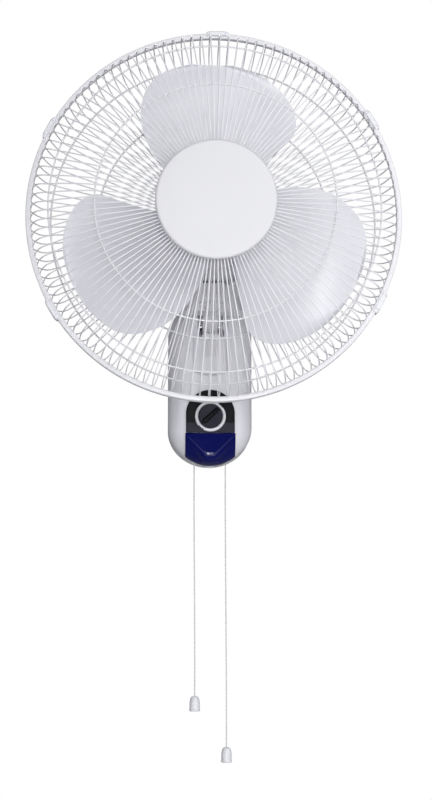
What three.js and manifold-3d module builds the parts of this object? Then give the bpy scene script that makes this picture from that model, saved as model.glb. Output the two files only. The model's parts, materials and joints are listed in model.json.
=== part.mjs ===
// Wall mounted oscillating fan, 40 cm class.
// Millimetres, +Z up. The wall is the plane y = 0 and the fan looks along -Y, so every
// "out" value below is a distance from the wall and becomes y = -out.
// The origin is the middle of the column's back face, where it lies on the wall.
import * as THREE from "three";
import { mergeVertices } from "three/addons/utils/BufferGeometryUtils.js";
import Module from "manifold-3d";

const wasm = await Module();
wasm.setup();

// ---------------------------------------------------------------- driving dimensions
const GAP = 0.3; // between pieces that touch
const SHEET = 2.5; // plastic wall

// column
const COLUMN_HALF_WIDTH = 52;
const COLUMN_TOP = 93;
const COLUMN_TOP_ROUND = 41; // height of the rounded top
const COLUMN_BOTTOM = -110;
const COLUMN_BOTTOM_ROUND = 46;
const COLUMN_DEPTH = 74;
const EDGE_ROUND = 24; // how far the front edge's rounding reaches in from the side
const EDGE_DEPTH = 28; // and back from the front face
const BACK_PLATE = 3;
const CHANNEL_WIDTH = 30; // open slot for the neck's tongue
const CHANNEL_BOTTOM = 51;
const CHANNEL_FLOOR = 12; // the slot starts this far in front of the back plate
const GROOVE_WIDTH = 42; // shallow groove below the slot
const GROOVE_BOTTOM = 1;
const GROOVE_DEPTH = 3.5;
const GROOVE_CORNER = 7; // rounding of the groove's lower corners
const GROOVE_SAG = 5; // how far its lower lip bows down
const KEYHOLE_SPACING = 56;
const KEYHOLE_HEIGHT = 44;
const KEYHOLE_HEAD = 4.8; // radius
const KEYHOLE_SLOT = 2.4;
const KEYHOLE_LENGTH = 11;
const LIP_SHEET = 2; // locating lip on the back plate
const LIP_HEIGHT = 6;
const GLAND_RADIUS = 6.8; // inlet for the mains cord, in the column's bottom
const GLAND_BORE = 4;
const GLAND_OUT = 18;
const GLAND_FLANGE = 0.8;
const GLAND_LENGTH = 10;

// control panel, lens and knob
const PANEL_HALF_WIDTH = 30;
const PANEL_TOP = -20;
const PANEL_SPLIT = -72; // black above, blue below
const PANEL_ARCH = 30; // height of the arch's rounding
const LENS_HALF_WIDTH = 30.8;
const LENS_BOTTOM = -111;
const LENS_SHOULDER = 11; // height of the curve at its foot
const SKIN_BACK = 50; // the panel and the lens wrap the front this far back
const SKIN = 1.8; // panel and lens thickness
const LENS_SKIN = 3.2;
const KNOB_HEIGHT = -53;
const KNOB_RADIUS = 15.2;
const KNOB_RING_RADIUS = 18.8;
const KNOB_THICKNESS = 9;
const KNOB_ROUND = 1.5;
const KNOB_GRIP_WIDTH = 6;
const KNOB_GRIP_INSET = 2.5; // of the grip bar's ends from the knob's edge
const KNOB_GRIP_HEIGHT = 3.2;
const KNOB_GRIP_ANGLE = 45; // degrees from level
const KNOB_WALL = 3; // between the shaft's end and the knob's face
const RING_SHARE = 0.55; // the white ring's height as a share of the knob's
const CONTROL_SHAFT_RADIUS = 3;
const SHAFT_ROOM = 1.2; // round the control shaft in the housing and the panel
const SHAFT_DEPTH = 16; // behind the front sheet of the switch bracket

// pull cords
const CORD_SPACING = 38.6;
const CORD_OUT = 45;
const CORD_DIAMETER = 1.6;
const LEFT_CORD_LENGTH = 294; // from the switch to the bell's top
const RIGHT_CORD_LENGTH = 355;
const CORD_TOP = -97;
const CORD_STEPS = 12;
const BELL_RADIUS = 6.7;
const BELL_HEIGHT = 18.5;
const BUSH_RADIUS = 3.6;
const BUSH_BORE = 1.3;
const BUSH_LENGTH = 9;
const BUSH_PROUD = 3; // below the column's skin
const SWITCH_WIDTH = 24;
const SWITCH_HEIGHT = 22;
const SWITCH_DEPTH = 18;
const SWITCH_OFFSET = 4; // a pull switch starts this far from the middle
const BRACKET_SHEET = 1.5;
const BRACKET_SETBACK = 9; // its front sheet behind the housing's wall
const BRACKET_FOOT = 34; // height of the foot on the back plate

// tilt pivot
const TILT_OUT = 52;
const TILT_HEIGHT = 62;
const TONGUE_WIDTH = 19.4;
const TONGUE_RADIUS = 13;
const PIN_RADIUS = 4;
const PIN_HEAD_RADIUS = 7;
const PIN_HEAD = 3;
const PIN_FIT = 0.4; // radial room round a pin, which keeps faceted walls apart
const CHEEK_SHEET = 2.4;
const CHEEK_RADIUS = 13;
const CHEEK_BELOW = 22; // how far the cheeks' root reaches below the pivot
const CHEEK_ABOVE = 14;

// head
const HEAD_HEIGHT = 160; // fan axis above the origin
const PAN_OUT = 118; // vertical swivel axis from the wall
const PAN_PIN_RADIUS = 5;
const SOCKET_RADIUS = 11;
const NECK_WIDTH = 32;
const NECK_BACK = 92; // where the wide block of the neck starts
const NECK_HEIGHT = 17.5;
const NECK_REACH = 20; // of the neck in front of the swivel axis
const PAN_PIN_DEPTH = 12; // of the swivel pin in the neck
const SADDLE_HALF_WIDTH = 45; // the neck's broad part under the motor
const SADDLE_FRONT = 126;
const SADDLE_DROP = 4; // its foot below the neck's block
const SADDLE_CORNER = 10;
const POST_RADIUS = 2.5;
const POST_HEIGHT = 3.4;
const NECK_CLEARANCE = 2.4; // between the neck and the motor housing
const MOTOR_RADIUS = 56;
const MOTOR_FRONT = 178.5;
const MOTOR_SPLIT = 100;
const MOTOR_BACK = 50;
const MOTOR_NOSE_RADIUS = 46;
const NOSE_DEPTH = 16; // rounding of the motor housing's front edge
const NOSE_VENTS = 12;
const NOSE_VENT_WIDTH = 2.6;
const NOSE_VENT_SPAN = [30, 42]; // from the fan axis
const BACK_VENTS = 6;
const BACK_VENT_WIDTH = 3;
const BACK_VENT_SPAN = [18, 34];
const DOME_STRAIGHT = 0.3; // share of the rear cover's depth before its dome starts
const COLLAR_RADIUS = 24; // threaded collar that carries the guard
const COLLAR_LENGTH = 13;
const SHAFT_RADIUS = 4;
const BEARING_RADIUS = 11;
const BEARING_WIDTH = 8;
const STATOR_RADIUS = MOTOR_RADIUS - 9;
const STATOR_BORE = 26.3;
const STATOR_LENGTH = 32;
const STATOR_OUT = 138; // middle of the core
const ROTOR_RADIUS = 25.4;
const ROTOR_LENGTH = 36;

// oscillation drive: crank under the gearbox, link to a post on the neck
const POST_OFFSET = 24; // post from the swivel axis, to the left
const CRANK_RADIUS = 15.4;
const LINK_LENGTH = 44;
const LINK_WIDTH = 9;
const LINK_SHEET = 2;
const CRANK_SHEET = 2.5;
const CRANK_HUB = 5;
const CRANK_EYE = 4;
const CRANK_ROOM = 0.8; // round the turning crank
const GEARBOX_WIDTH = 26;
const GEARBOX_HEIGHT = 20;
const GEARBOX_RISE = 18; // above the motor housing's underside

// guard; every "out" here is a distance in front of the rim
const GUARD_RADIUS = 215;
const RIM_OUT = 232; // the rim from the wall
const HOOP_DIAMETER = 5.6;
const WIRES = 120;
const WIRE_DIAMETER = 1.6;
const CROSS_RING_DIAMETER = 2;
const FRONT_INNER_RADIUS = GUARD_RADIUS - 80;
const FRONT_INNER_OUT = 65;
const FRONT_OUTER_RADIUS = GUARD_RADIUS - 27;
const FRONT_SHOULDER_RADIUS = GUARD_RADIUS - 12; // where the wires turn to the rim
const FRONT_SHOULDER_OUT = 33;
const REAR_INNER_RADIUS = GUARD_RADIUS - 79;
const REAR_OUTER_RADIUS = GUARD_RADIUS - 25;
const REAR_SHOULDER_RADIUS = GUARD_RADIUS - 12;
const REAR_SHOULDER_OUT = -41.5;
const FRONT_HUB_RADIUS = 62;
const FRONT_HUB_WIDTH = 14;
const FRONT_HUB_OUT = 70;
const REAR_HUB_RADIUS = 52;
const REAR_HUB_OUT = -51;
const HUB_PLATE = 2.4;
const HUB_GRIP = 10; // length of wire on a hub plate
const BADGE_RADIUS = 67;
const BADGE_THICKNESS = 6;
const NUT_RADIUS = 40;
const NUT_THICKNESS = 9;
const THREAD_FIT = 0.8;
const CLIP_ANGLES = [89, 32, -28, 152, 211];
const CLIP_LENGTH = 26;
const CLIP_SHEET = 1.8;

// blades
const BLADE_RADIUS = GUARD_RADIUS - 35;
const BLADE_COUNT = 3;
const BLADE_OUT = 230;
const BLADE_SHEET = 2.4;
const BLADE_CAMBER = 6;
const BLADE_DEPTH = 24; // half of a blade's depth where it is deepest
const BLADE_TURN = -0.9; // degrees round the axis
const HUB_RADIUS = 33;
const HUB_DEPTH = 40;
const SPINNER_RADIUS = 15;
const SPINNER_LENGTH = 14;
// a blade's two edges in degrees round the axis, and its share of the depth, by share of its
// radius
const BLADE_STATIONS = [
  { at: 0.176, lead: 60, trail: 148, deep: 0.71 },
  { at: 0.42, lead: 52, trail: 141, deep: 0.92 },
  { at: 0.62, lead: 49, trail: 135, deep: 1 },
  { at: 0.76, lead: 48.3, trail: 129, deep: 0.92 },
  { at: 0.86, lead: 53, trail: 123, deep: 0.73 },
  { at: 0.93, lead: 61, trail: 117.5, deep: 0.54 },
  { at: 0.98, lead: 72, trail: 110.5, deep: 0.33 },
  { at: 1, lead: 84, trail: 100, deep: 0.125 },
];

// ---------------------------------------------------------------- materials
const paint = (color, roughness, metalness = 0) =>
  new THREE.MeshStandardMaterial({ color, roughness, metalness });
const white = paint(0xe6e6ec, 0.45);
const guardWhite = paint(0xeeeef3, 0.4);
const badgeGrey = paint(0xe4e4ea, 0.5);
const bladeGrey = paint(0xd9dae2, 0.35);
const black = paint(0x1c1c22, 0.35);
const darkGrey = paint(0x2e2d39, 0.5);
const blue = paint(0x05084f, 0.08);
const steel = paint(0x9a9a9e, 0.35, 0.9);
const core = paint(0x54545a, 0.6, 0.6);
const switchPlastic = paint(0x303036, 0.6);
const cordWhite = paint(0xe9e9ea, 0.7);

// ---------------------------------------------------------------- solids
// A closed solid of a geometry, with its faces turned outwards.
function toSolid(geometry) {
  geometry.deleteAttribute("normal");
  geometry.deleteAttribute("uv");
  const merged = mergeVertices(geometry, 1e-4);
  const vertProperties = new Float32Array(merged.attributes.position.array);
  const triVerts = new Uint32Array(merged.index.array);
  const made = new wasm.Manifold(new wasm.Mesh({ numProp: 3, vertProperties, triVerts }));
  if (made.volume() > 0) return made;
  for (let i = 0; i < triVerts.length; i += 3) {
    [triVerts[i + 1], triVerts[i + 2]] = [triVerts[i + 2], triVerts[i + 1]];
  }
  return new wasm.Manifold(new wasm.Mesh({ numProp: 3, vertProperties, triVerts }));
}

function toGeometry(solid) {
  const mesh = solid.getMesh();
  const geometry = new THREE.BufferGeometry();
  geometry.setAttribute("position", new THREE.BufferAttribute(mesh.vertProperties, 3));
  geometry.setIndex(new THREE.BufferAttribute(mesh.triVerts, 1));
  return geometry;
}

const join = (...solids) => solids.reduce((sum, next) => sum.add(next));
const cut = (solid, ...tools) => tools.reduce((rest, tool) => rest.subtract(tool), solid);

const parts = new THREE.Group();

function addPart(name, solid, material) {
  const geometry = toGeometry(solid).toNonIndexed();
  geometry.computeVertexNormals();
  const mesh = new THREE.Mesh(geometry, material);
  mesh.name = name;
  parts.add(mesh);
}

const range = (count) => Array.from({ length: count }, (_, i) => i);
const radians = THREE.MathUtils.degToRad;

// A box from its two corners; the y pair is given as distances out from the wall.
function box([x0, x1], [out0, out1], [z0, z1]) {
  const geometry = new THREE.BoxGeometry(x1 - x0, out1 - out0, z1 - z0);
  geometry.translate((x0 + x1) / 2, -(out0 + out1) / 2, (z0 + z1) / 2);
  return toSolid(geometry);
}

// A solid turned about the fan axis from [radius, out] points, placed at a height.
function turned(profile, segments, height = HEAD_HEIGHT, x = 0) {
  const points = profile.map(([radius, out]) => new THREE.Vector2(radius, -out));
  const geometry = new THREE.LatheGeometry(points, segments);
  geometry.translate(x, 0, height);
  return toSolid(geometry);
}

// A solid turned about a vertical axis from [radius, z] points.
function turnedUpright(profile, segments, x, out) {
  const points = profile.map(([radius, z]) => new THREE.Vector2(radius, z));
  const geometry = new THREE.LatheGeometry(points, segments);
  geometry.rotateX(Math.PI / 2);
  geometry.translate(x, -out, 0);
  return toSolid(geometry);
}

const disc = (radius, from, to) => [
  [0, from],
  [radius, from],
  [radius, to],
  [0, to],
];
const tube = (bore, radius, from, to) => [
  [bore, from],
  [radius, from],
  [radius, to],
  [bore, to],
  [bore, from],
];

// A flat outline in x and z, pushed out from the wall.
function pushedOut(shape, from, to, curveSegments = 12) {
  const geometry = new THREE.ExtrudeGeometry(shape, {
    depth: to - from,
    bevelEnabled: false,
    curveSegments,
  });
  geometry.rotateX(Math.PI / 2);
  geometry.translate(0, -from, 0);
  return toSolid(geometry);
}

// A flat outline in out and z, spread across x about the middle.
function spreadAcross(shape, width, curveSegments) {
  const geometry = new THREE.ExtrudeGeometry(shape, {
    depth: width,
    bevelEnabled: false,
    curveSegments,
  });
  geometry.translate(0, 0, -width / 2);
  geometry.rotateX(Math.PI / 2);
  geometry.rotateZ(-Math.PI / 2);
  return toSolid(geometry);
}

// A closed skin over rings of equally many points, closed at both ends by a fan.
function loft(rings) {
  const count = rings[0].length;
  const positions = [];
  const push = (...points) => points.forEach((p) => positions.push(p.x, p.y, p.z));
  rings.slice(1).forEach((ring, k) => {
    const last = rings[k];
    range(count).forEach((i) => {
      const j = (i + 1) % count;
      push(last[i], last[j], ring[j], last[i], ring[j], ring[i]);
    });
  });
  const first = rings[0];
  const end = rings[rings.length - 1];
  range(count - 2).forEach((i) => {
    push(first[0], first[i + 2], first[i + 1]);
    push(end[0], end[i + 1], end[i + 2]);
  });
  const geometry = new THREE.BufferGeometry();
  geometry.setAttribute("position", new THREE.Float32BufferAttribute(positions, 3));
  return toSolid(geometry);
}

// ---------------------------------------------------------------- column
const HALF_ROUND_STEPS = 11;

// The column's outline, drawn in by an inset, at a distance out from the wall.
function columnRing(inset, out) {
  const half = COLUMN_HALF_WIDTH - inset;
  const ends = [
    { middle: COLUMN_TOP - COLUMN_TOP_ROUND, height: COLUMN_TOP_ROUND - inset, from: 0 },
    { middle: COLUMN_BOTTOM + COLUMN_BOTTOM_ROUND, height: COLUMN_BOTTOM_ROUND - inset, from: 1 },
  ];
  return ends.flatMap(({ middle, height, from }) =>
    range(HALF_ROUND_STEPS + 1).map((i) => {
      const angle = Math.PI * (from + i / HALF_ROUND_STEPS);
      return new THREE.Vector3(
        half * Math.cos(angle),
        -out,
        middle + height * Math.sin(angle),
      );
    }),
  );
}

// The column's outer form grown by an offset, from one distance out to its front.
function columnForm(offset, from, steps = 4) {
  const rounding = range(steps + 1).map((i) => {
    const angle = (i / steps) * (Math.PI / 2);
    const inset = EDGE_ROUND * (1 - Math.cos(angle)) - offset;
    const out = COLUMN_DEPTH - EDGE_DEPTH + EDGE_DEPTH * Math.sin(angle) + offset * Math.sin(angle);
    return columnRing(inset, out);
  });
  return loft([columnRing(-offset, from), ...rounding]);
}

const FAR = 400; // longer than any piece that a cutting tool passes through

function channelTool() {
  const half = CHANNEL_WIDTH / 2;
  return box([-half, half], [BACK_PLATE + CHANNEL_FLOOR, FAR], [CHANNEL_BOTTOM, FAR]);
}

// The groove below the slot: shallow, with a rounded lower lip.
function grooveTool() {
  const half = GROOVE_WIDTH / 2;
  const corner = half - GROOVE_CORNER;
  const lip = new THREE.Shape();
  lip.moveTo(-half, COLUMN_TOP);
  lip.lineTo(-half, GROOVE_BOTTOM + GROOVE_CORNER);
  lip.quadraticCurveTo(-half, GROOVE_BOTTOM, -corner, GROOVE_BOTTOM);
  lip.quadraticCurveTo(0, GROOVE_BOTTOM - GROOVE_SAG, corner, GROOVE_BOTTOM);
  lip.quadraticCurveTo(half, GROOVE_BOTTOM, half, GROOVE_BOTTOM + GROOVE_CORNER);
  lip.lineTo(half, COLUMN_TOP);
  return pushedOut(lip, COLUMN_DEPTH - GROOVE_DEPTH, FAR, 4);
}

function roundBar(radius, from, to, x, height, segments = 16) {
  return turned(disc(radius, from, to), segments, height, x);
}

function makeFrontHousing() {
  const outer = columnForm(0, BACK_PLATE + GAP);
  const inner = columnForm(-SHEET, -1, 2);
  const grooveBack = box(
    [-GROOVE_WIDTH / 2 - SHEET, GROOVE_WIDTH / 2 + SHEET],
    [COLUMN_DEPTH - GROOVE_DEPTH - SHEET, COLUMN_DEPTH - SHEET / 2],
    [GROOVE_BOTTOM - GROOVE_SAG, COLUMN_TOP - LIP_HEIGHT],
  );
  const shell = join(cut(outer, inner), grooveBack.intersect(outer));
  const knobHole = roundBar(
    CONTROL_SHAFT_RADIUS + SHAFT_ROOM, BRACKET_FACE, FAR, 0, KNOB_HEIGHT, 12);
  const bushHoles = [-1, 1].map((side) =>
    fromBelow(BUSH_RADIUS + GAP, COLUMN_BOTTOM + COLUMN_BOTTOM_ROUND / 2, 12,
      (side * CORD_SPACING) / 2, CORD_OUT));
  const glandHole = glandTool(GAP);
  return cut(shell, grooveTool(), channelTool(), knobHole, ...bushHoles, glandHole);
}

// A round hole from far below up to a height.
function fromBelow(radius, top, segments, x, out) {
  return turnedUpright(disc(radius, -FAR, top), segments, x, out);
}

const glandTool = (room) =>
  fromBelow(GLAND_RADIUS + room, COLUMN_BOTTOM + 2 * GLAND_LENGTH, 14, 0, GLAND_OUT);

function makeCableGland() {
  const top = COLUMN_BOTTOM + GLAND_LENGTH;
  const bottom = COLUMN_BOTTOM - GAP - GLAND_FLANGE;
  return turnedUpright(
    [
      [GLAND_BORE, bottom],
      [GLAND_RADIUS + GLAND_FLANGE, bottom],
      [GLAND_RADIUS + 2 * GLAND_FLANGE, COLUMN_BOTTOM - GAP],
      [GLAND_RADIUS, COLUMN_BOTTOM - GAP],
      [GLAND_RADIUS, top],
      [GLAND_BORE, top],
      [GLAND_BORE, bottom],
    ], 14, 0, GLAND_OUT);
}

function keyholeShape(x) {
  const shape = new THREE.Shape();
  const spread = Math.asin(KEYHOLE_SLOT / KEYHOLE_HEAD);
  shape.absarc(x, KEYHOLE_HEIGHT, KEYHOLE_HEAD, Math.PI / 2 + spread, Math.PI / 2 - spread, false);
  shape.absarc(x, KEYHOLE_HEIGHT + KEYHOLE_LENGTH, KEYHOLE_SLOT, 0, Math.PI, false);
  return shape;
}

function makeRearCover() {
  const plate = loft([columnRing(0, 0), columnRing(0, BACK_PLATE)]);
  const lipOuter = SHEET + 2 * GAP;
  const lipInner = lipOuter + LIP_SHEET;
  const lipTop = BACK_PLATE + LIP_HEIGHT;
  const lip = cut(
    loft([columnRing(lipOuter, BACK_PLATE - 1), columnRing(lipOuter, lipTop)]),
    loft([columnRing(lipInner, BACK_PLATE - 2), columnRing(lipInner, lipTop + 1)]),
    channelTool(),
    glandTool(2),
  );
  const keyholes = [-1, 1].map((side) =>
    pushedOut(keyholeShape((side * KEYHOLE_SPACING) / 2), -1, BACK_PLATE + 1, 5));
  return cut(join(plate, lip), ...keyholes);
}

// ---------------------------------------------------------------- controls
// A skin that follows the column's front, inside an outline.
function frontSkin(outline, thickness) {
  const layer = cut(columnForm(thickness + GAP, 0), columnForm(GAP, -1));
  return layer.intersect(pushedOut(outline, SKIN_BACK, FAR, 10));
}

function makeControlPanel() {
  const arch = new THREE.Shape();
  arch.moveTo(-PANEL_HALF_WIDTH, PANEL_SPLIT + GAP / 2);
  arch.lineTo(PANEL_HALF_WIDTH, PANEL_SPLIT + GAP / 2);
  arch.lineTo(PANEL_HALF_WIDTH, PANEL_TOP - PANEL_ARCH);
  arch.absellipse(
    0, PANEL_TOP - PANEL_ARCH, PANEL_HALF_WIDTH, PANEL_ARCH, 0, Math.PI, false, 0);
  const hole = roundBar(CONTROL_SHAFT_RADIUS + SHAFT_ROOM, 0, FAR, 0, KNOB_HEIGHT, 12);
  return cut(frontSkin(arch, SKIN), hole);
}

function makeLens() {
  const shoulder = LENS_BOTTOM + LENS_SHOULDER;
  const bowl = new THREE.Shape();
  bowl.moveTo(-LENS_HALF_WIDTH, PANEL_SPLIT - GAP / 2);
  bowl.lineTo(-LENS_HALF_WIDTH, shoulder);
  bowl.quadraticCurveTo(-LENS_HALF_WIDTH / 2, LENS_BOTTOM, 0, LENS_BOTTOM);
  bowl.quadraticCurveTo(LENS_HALF_WIDTH / 2, LENS_BOTTOM, LENS_HALF_WIDTH, shoulder);
  bowl.lineTo(LENS_HALF_WIDTH, PANEL_SPLIT - GAP / 2);
  return frontSkin(bowl, LENS_SKIN);
}

const PANEL_FACE = COLUMN_DEPTH + GAP + SKIN;
const KNOB_BACK = PANEL_FACE + GAP;

function makeKnobRing() {
  const face = KNOB_BACK + KNOB_THICKNESS * RING_SHARE;
  return turned(tube(KNOB_RADIUS + GAP, KNOB_RING_RADIUS, KNOB_BACK, face), 24, KNOB_HEIGHT);
}

function makeKnob() {
  const face = KNOB_BACK + KNOB_THICKNESS;
  const body = turned(
    [
      [0, KNOB_BACK],
      [KNOB_RADIUS, KNOB_BACK],
      [KNOB_RADIUS, face - KNOB_ROUND],
      [KNOB_RADIUS - KNOB_ROUND, face],
      [0, face],
    ], 24, KNOB_HEIGHT);
  const grip = new THREE.BoxGeometry(
    2 * (KNOB_RADIUS - KNOB_GRIP_INSET), KNOB_GRIP_HEIGHT + 1, KNOB_GRIP_WIDTH);
  grip.rotateY(-radians(KNOB_GRIP_ANGLE));
  grip.translate(0, -face - (KNOB_GRIP_HEIGHT - 1) / 2, KNOB_HEIGHT);
  const bore = roundBar(CONTROL_SHAFT_RADIUS + GAP, 0, face - KNOB_WALL, 0, KNOB_HEIGHT, 12);
  return cut(join(body, toSolid(grip)), bore);
}

const BRACKET_FACE = COLUMN_DEPTH - SHEET - BRACKET_SETBACK;
const SHELF = CORD_TOP + 1.5; // top of the shelf under the pull switches

function makeControlShaft() {
  const front = KNOB_BACK + KNOB_THICKNESS - KNOB_WALL - GAP;
  return roundBar(
    CONTROL_SHAFT_RADIUS, BRACKET_FACE - SHAFT_DEPTH, front, 0, KNOB_HEIGHT, 12);
}

function makeRotarySwitch() {
  const half = SWITCH_WIDTH / 2;
  const body = box(
    [-half, half],
    [BRACKET_FACE - SWITCH_DEPTH, BRACKET_FACE - GAP],
    [KNOB_HEIGHT - half, KNOB_HEIGHT + half],
  );
  const back = BRACKET_FACE - SHAFT_DEPTH - GAP;
  return cut(body, roundBar(CONTROL_SHAFT_RADIUS + PIN_FIT, back, FAR, 0, KNOB_HEIGHT, 12));
}

// One folded sheet: a foot on the rear cover, a shelf for the pull switches, a front plate.
function makeSwitchBracket() {
  const half = CORD_SPACING / 2 + BUSH_RADIUS;
  const foot = BACK_PLATE + GAP;
  const under = SHELF - BRACKET_SHEET;
  const front = SWITCH_WIDTH / 2;
  const bends = [
    box([-half, half], [foot, foot + BRACKET_SHEET], [under, SHELF + BRACKET_FOOT]),
    box([-half, half], [foot, CORD_OUT + SWITCH_DEPTH / 2], [under, SHELF]),
    box([-front, front], [foot, BRACKET_FACE], [under, SHELF]),
    box([-front, front], [BRACKET_FACE, BRACKET_FACE + BRACKET_SHEET], [under, KNOB_HEIGHT + front]),
  ];
  const cordHoles = [-1, 1].map((side) =>
    fromBelow(BUSH_BORE + 1, 0, 10, (side * CORD_SPACING) / 2, CORD_OUT));
  const shaftHole = roundBar(
    CONTROL_SHAFT_RADIUS + PIN_FIT, BRACKET_FACE - 1, FAR, 0, KNOB_HEIGHT, 12);
  const glandRoom = glandTool(1);
  return cut(join(...bends), ...cordHoles, shaftHole, glandRoom);
}

function makePullSwitch(side) {
  const middle = (side * CORD_SPACING) / 2;
  const from = side > 0 ? SWITCH_OFFSET : -SWITCH_OFFSET - SWITCH_WIDTH;
  return cut(
    box(
      [from, from + SWITCH_WIDTH],
      [CORD_OUT - SWITCH_DEPTH / 2, CORD_OUT + SWITCH_DEPTH / 2 - 3],
      [SHELF + GAP, SHELF + GAP + SWITCH_HEIGHT],
    ),
    fromBelow(BUSH_BORE + 1, SHELF + SWITCH_HEIGHT / 2, 10, middle, CORD_OUT),
  );
}

function makeCordBush(side) {
  const x = (side * CORD_SPACING) / 2;
  const share = CORD_SPACING / 2 / COLUMN_HALF_WIDTH;
  const surface = COLUMN_BOTTOM + COLUMN_BOTTOM_ROUND * (1 - Math.sqrt(1 - share * share));
  const bottom = surface - BUSH_PROUD;
  return turnedUpright(
    tube(BUSH_BORE, BUSH_RADIUS, bottom, bottom + BUSH_LENGTH), 12, x, CORD_OUT);
}

// A pull cord hangs nearly straight: how far it drifts to the right, from its top to its bell.
const CORD_DRIFT = [0, 0, 0, 0, 0.1, 0.2, 0.3, 0.45, 0.6, 0.75, 0.9, 1, 1.1, 1.15, 1.2, 1.2, 1.2];

function cordRoute(side, length) {
  const x = (side * CORD_SPACING) / 2;
  const steps = CORD_DRIFT.length - 1;
  return CORD_DRIFT.map((drift, i) =>
    new THREE.Vector3(x + drift, -CORD_OUT, CORD_TOP - (length * i) / steps));
}

function makeCord(side, length) {
  const section = new THREE.Shape(
    range(8).map((i) => {
      const angle = (i / 8) * 2 * Math.PI;
      const radius = CORD_DIAMETER / 2;
      return new THREE.Vector2(radius * Math.cos(angle), radius * Math.sin(angle));
    }));
  const geometry = new THREE.ExtrudeGeometry(section, {
    steps: CORD_STEPS,
    extrudePath: new THREE.CatmullRomCurve3(cordRoute(side, length)),
  });
  return toSolid(geometry);
}

function makeBell(side, length) {
  const end = cordRoute(side, length).pop();
  const top = end.z - GAP;
  return turnedUpright(
    [
      [0, top],
      [2, top],
      [4.6, top - 1.4],
      [BELL_RADIUS * 0.86, top - 5],
      [BELL_RADIUS * 0.95, top - BELL_HEIGHT + 3.5],
      [BELL_RADIUS, top - BELL_HEIGHT + 2],
      [BELL_RADIUS - 1, top - BELL_HEIGHT],
      [0, top - BELL_HEIGHT],
    ], 12, end.x, CORD_OUT);
}

// ---------------------------------------------------------------- tilt
const CHEEK_INNER = CHANNEL_WIDTH / 2 + GAP;

function makeTiltBracket() {
  const foot = BACK_PLATE + GAP;
  const bottom = TILT_HEIGHT - CHEEK_BELOW;
  const top = TILT_HEIGHT + CHEEK_ABOVE;
  const outer = CHEEK_INNER + CHEEK_SHEET;
  const cheek = new THREE.Shape();
  cheek.moveTo(foot, bottom);
  cheek.lineTo(TILT_OUT, TILT_HEIGHT - CHEEK_RADIUS);
  cheek.absarc(TILT_OUT, TILT_HEIGHT, CHEEK_RADIUS, -Math.PI / 2, Math.PI / 2, false);
  cheek.lineTo(foot, top);
  const cheeks = spreadAcross(cheek, 2 * outer, 4);
  const between = box([-CHEEK_INNER, CHEEK_INNER], [foot + CHEEK_SHEET, FAR], [bottom - 1, top + 1]);
  const bore = pinAcross(PIN_RADIUS + PIN_FIT, 4 * outer);
  return cut(cheeks, between, bore);
}

// A round bar across the tilt pivot.
function pinAcross(radius, length) {
  const geometry = new THREE.CylinderGeometry(radius, radius, length, 16);
  geometry.rotateZ(Math.PI / 2);
  geometry.translate(0, -TILT_OUT, TILT_HEIGHT);
  return toSolid(geometry);
}

function makeTiltPin() {
  const outer = CHEEK_INNER + CHEEK_SHEET + GAP;
  const head = new THREE.CylinderGeometry(PIN_HEAD_RADIUS, PIN_HEAD_RADIUS, PIN_HEAD, 6);
  head.rotateZ(Math.PI / 2);
  head.translate(outer + PIN_HEAD / 2, -TILT_OUT, TILT_HEIGHT);
  return join(pinAcross(PIN_RADIUS, 2 * outer + 1), toSolid(head));
}

// ---------------------------------------------------------------- neck
const MOTOR_BOTTOM = HEAD_HEIGHT - MOTOR_RADIUS;
const NECK_TOP = MOTOR_BOTTOM - NECK_CLEARANCE;
const NECK_FRONT = PAN_OUT + NECK_REACH;
const PAN_PIN_TOP = MOTOR_BOTTOM + 5;

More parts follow.
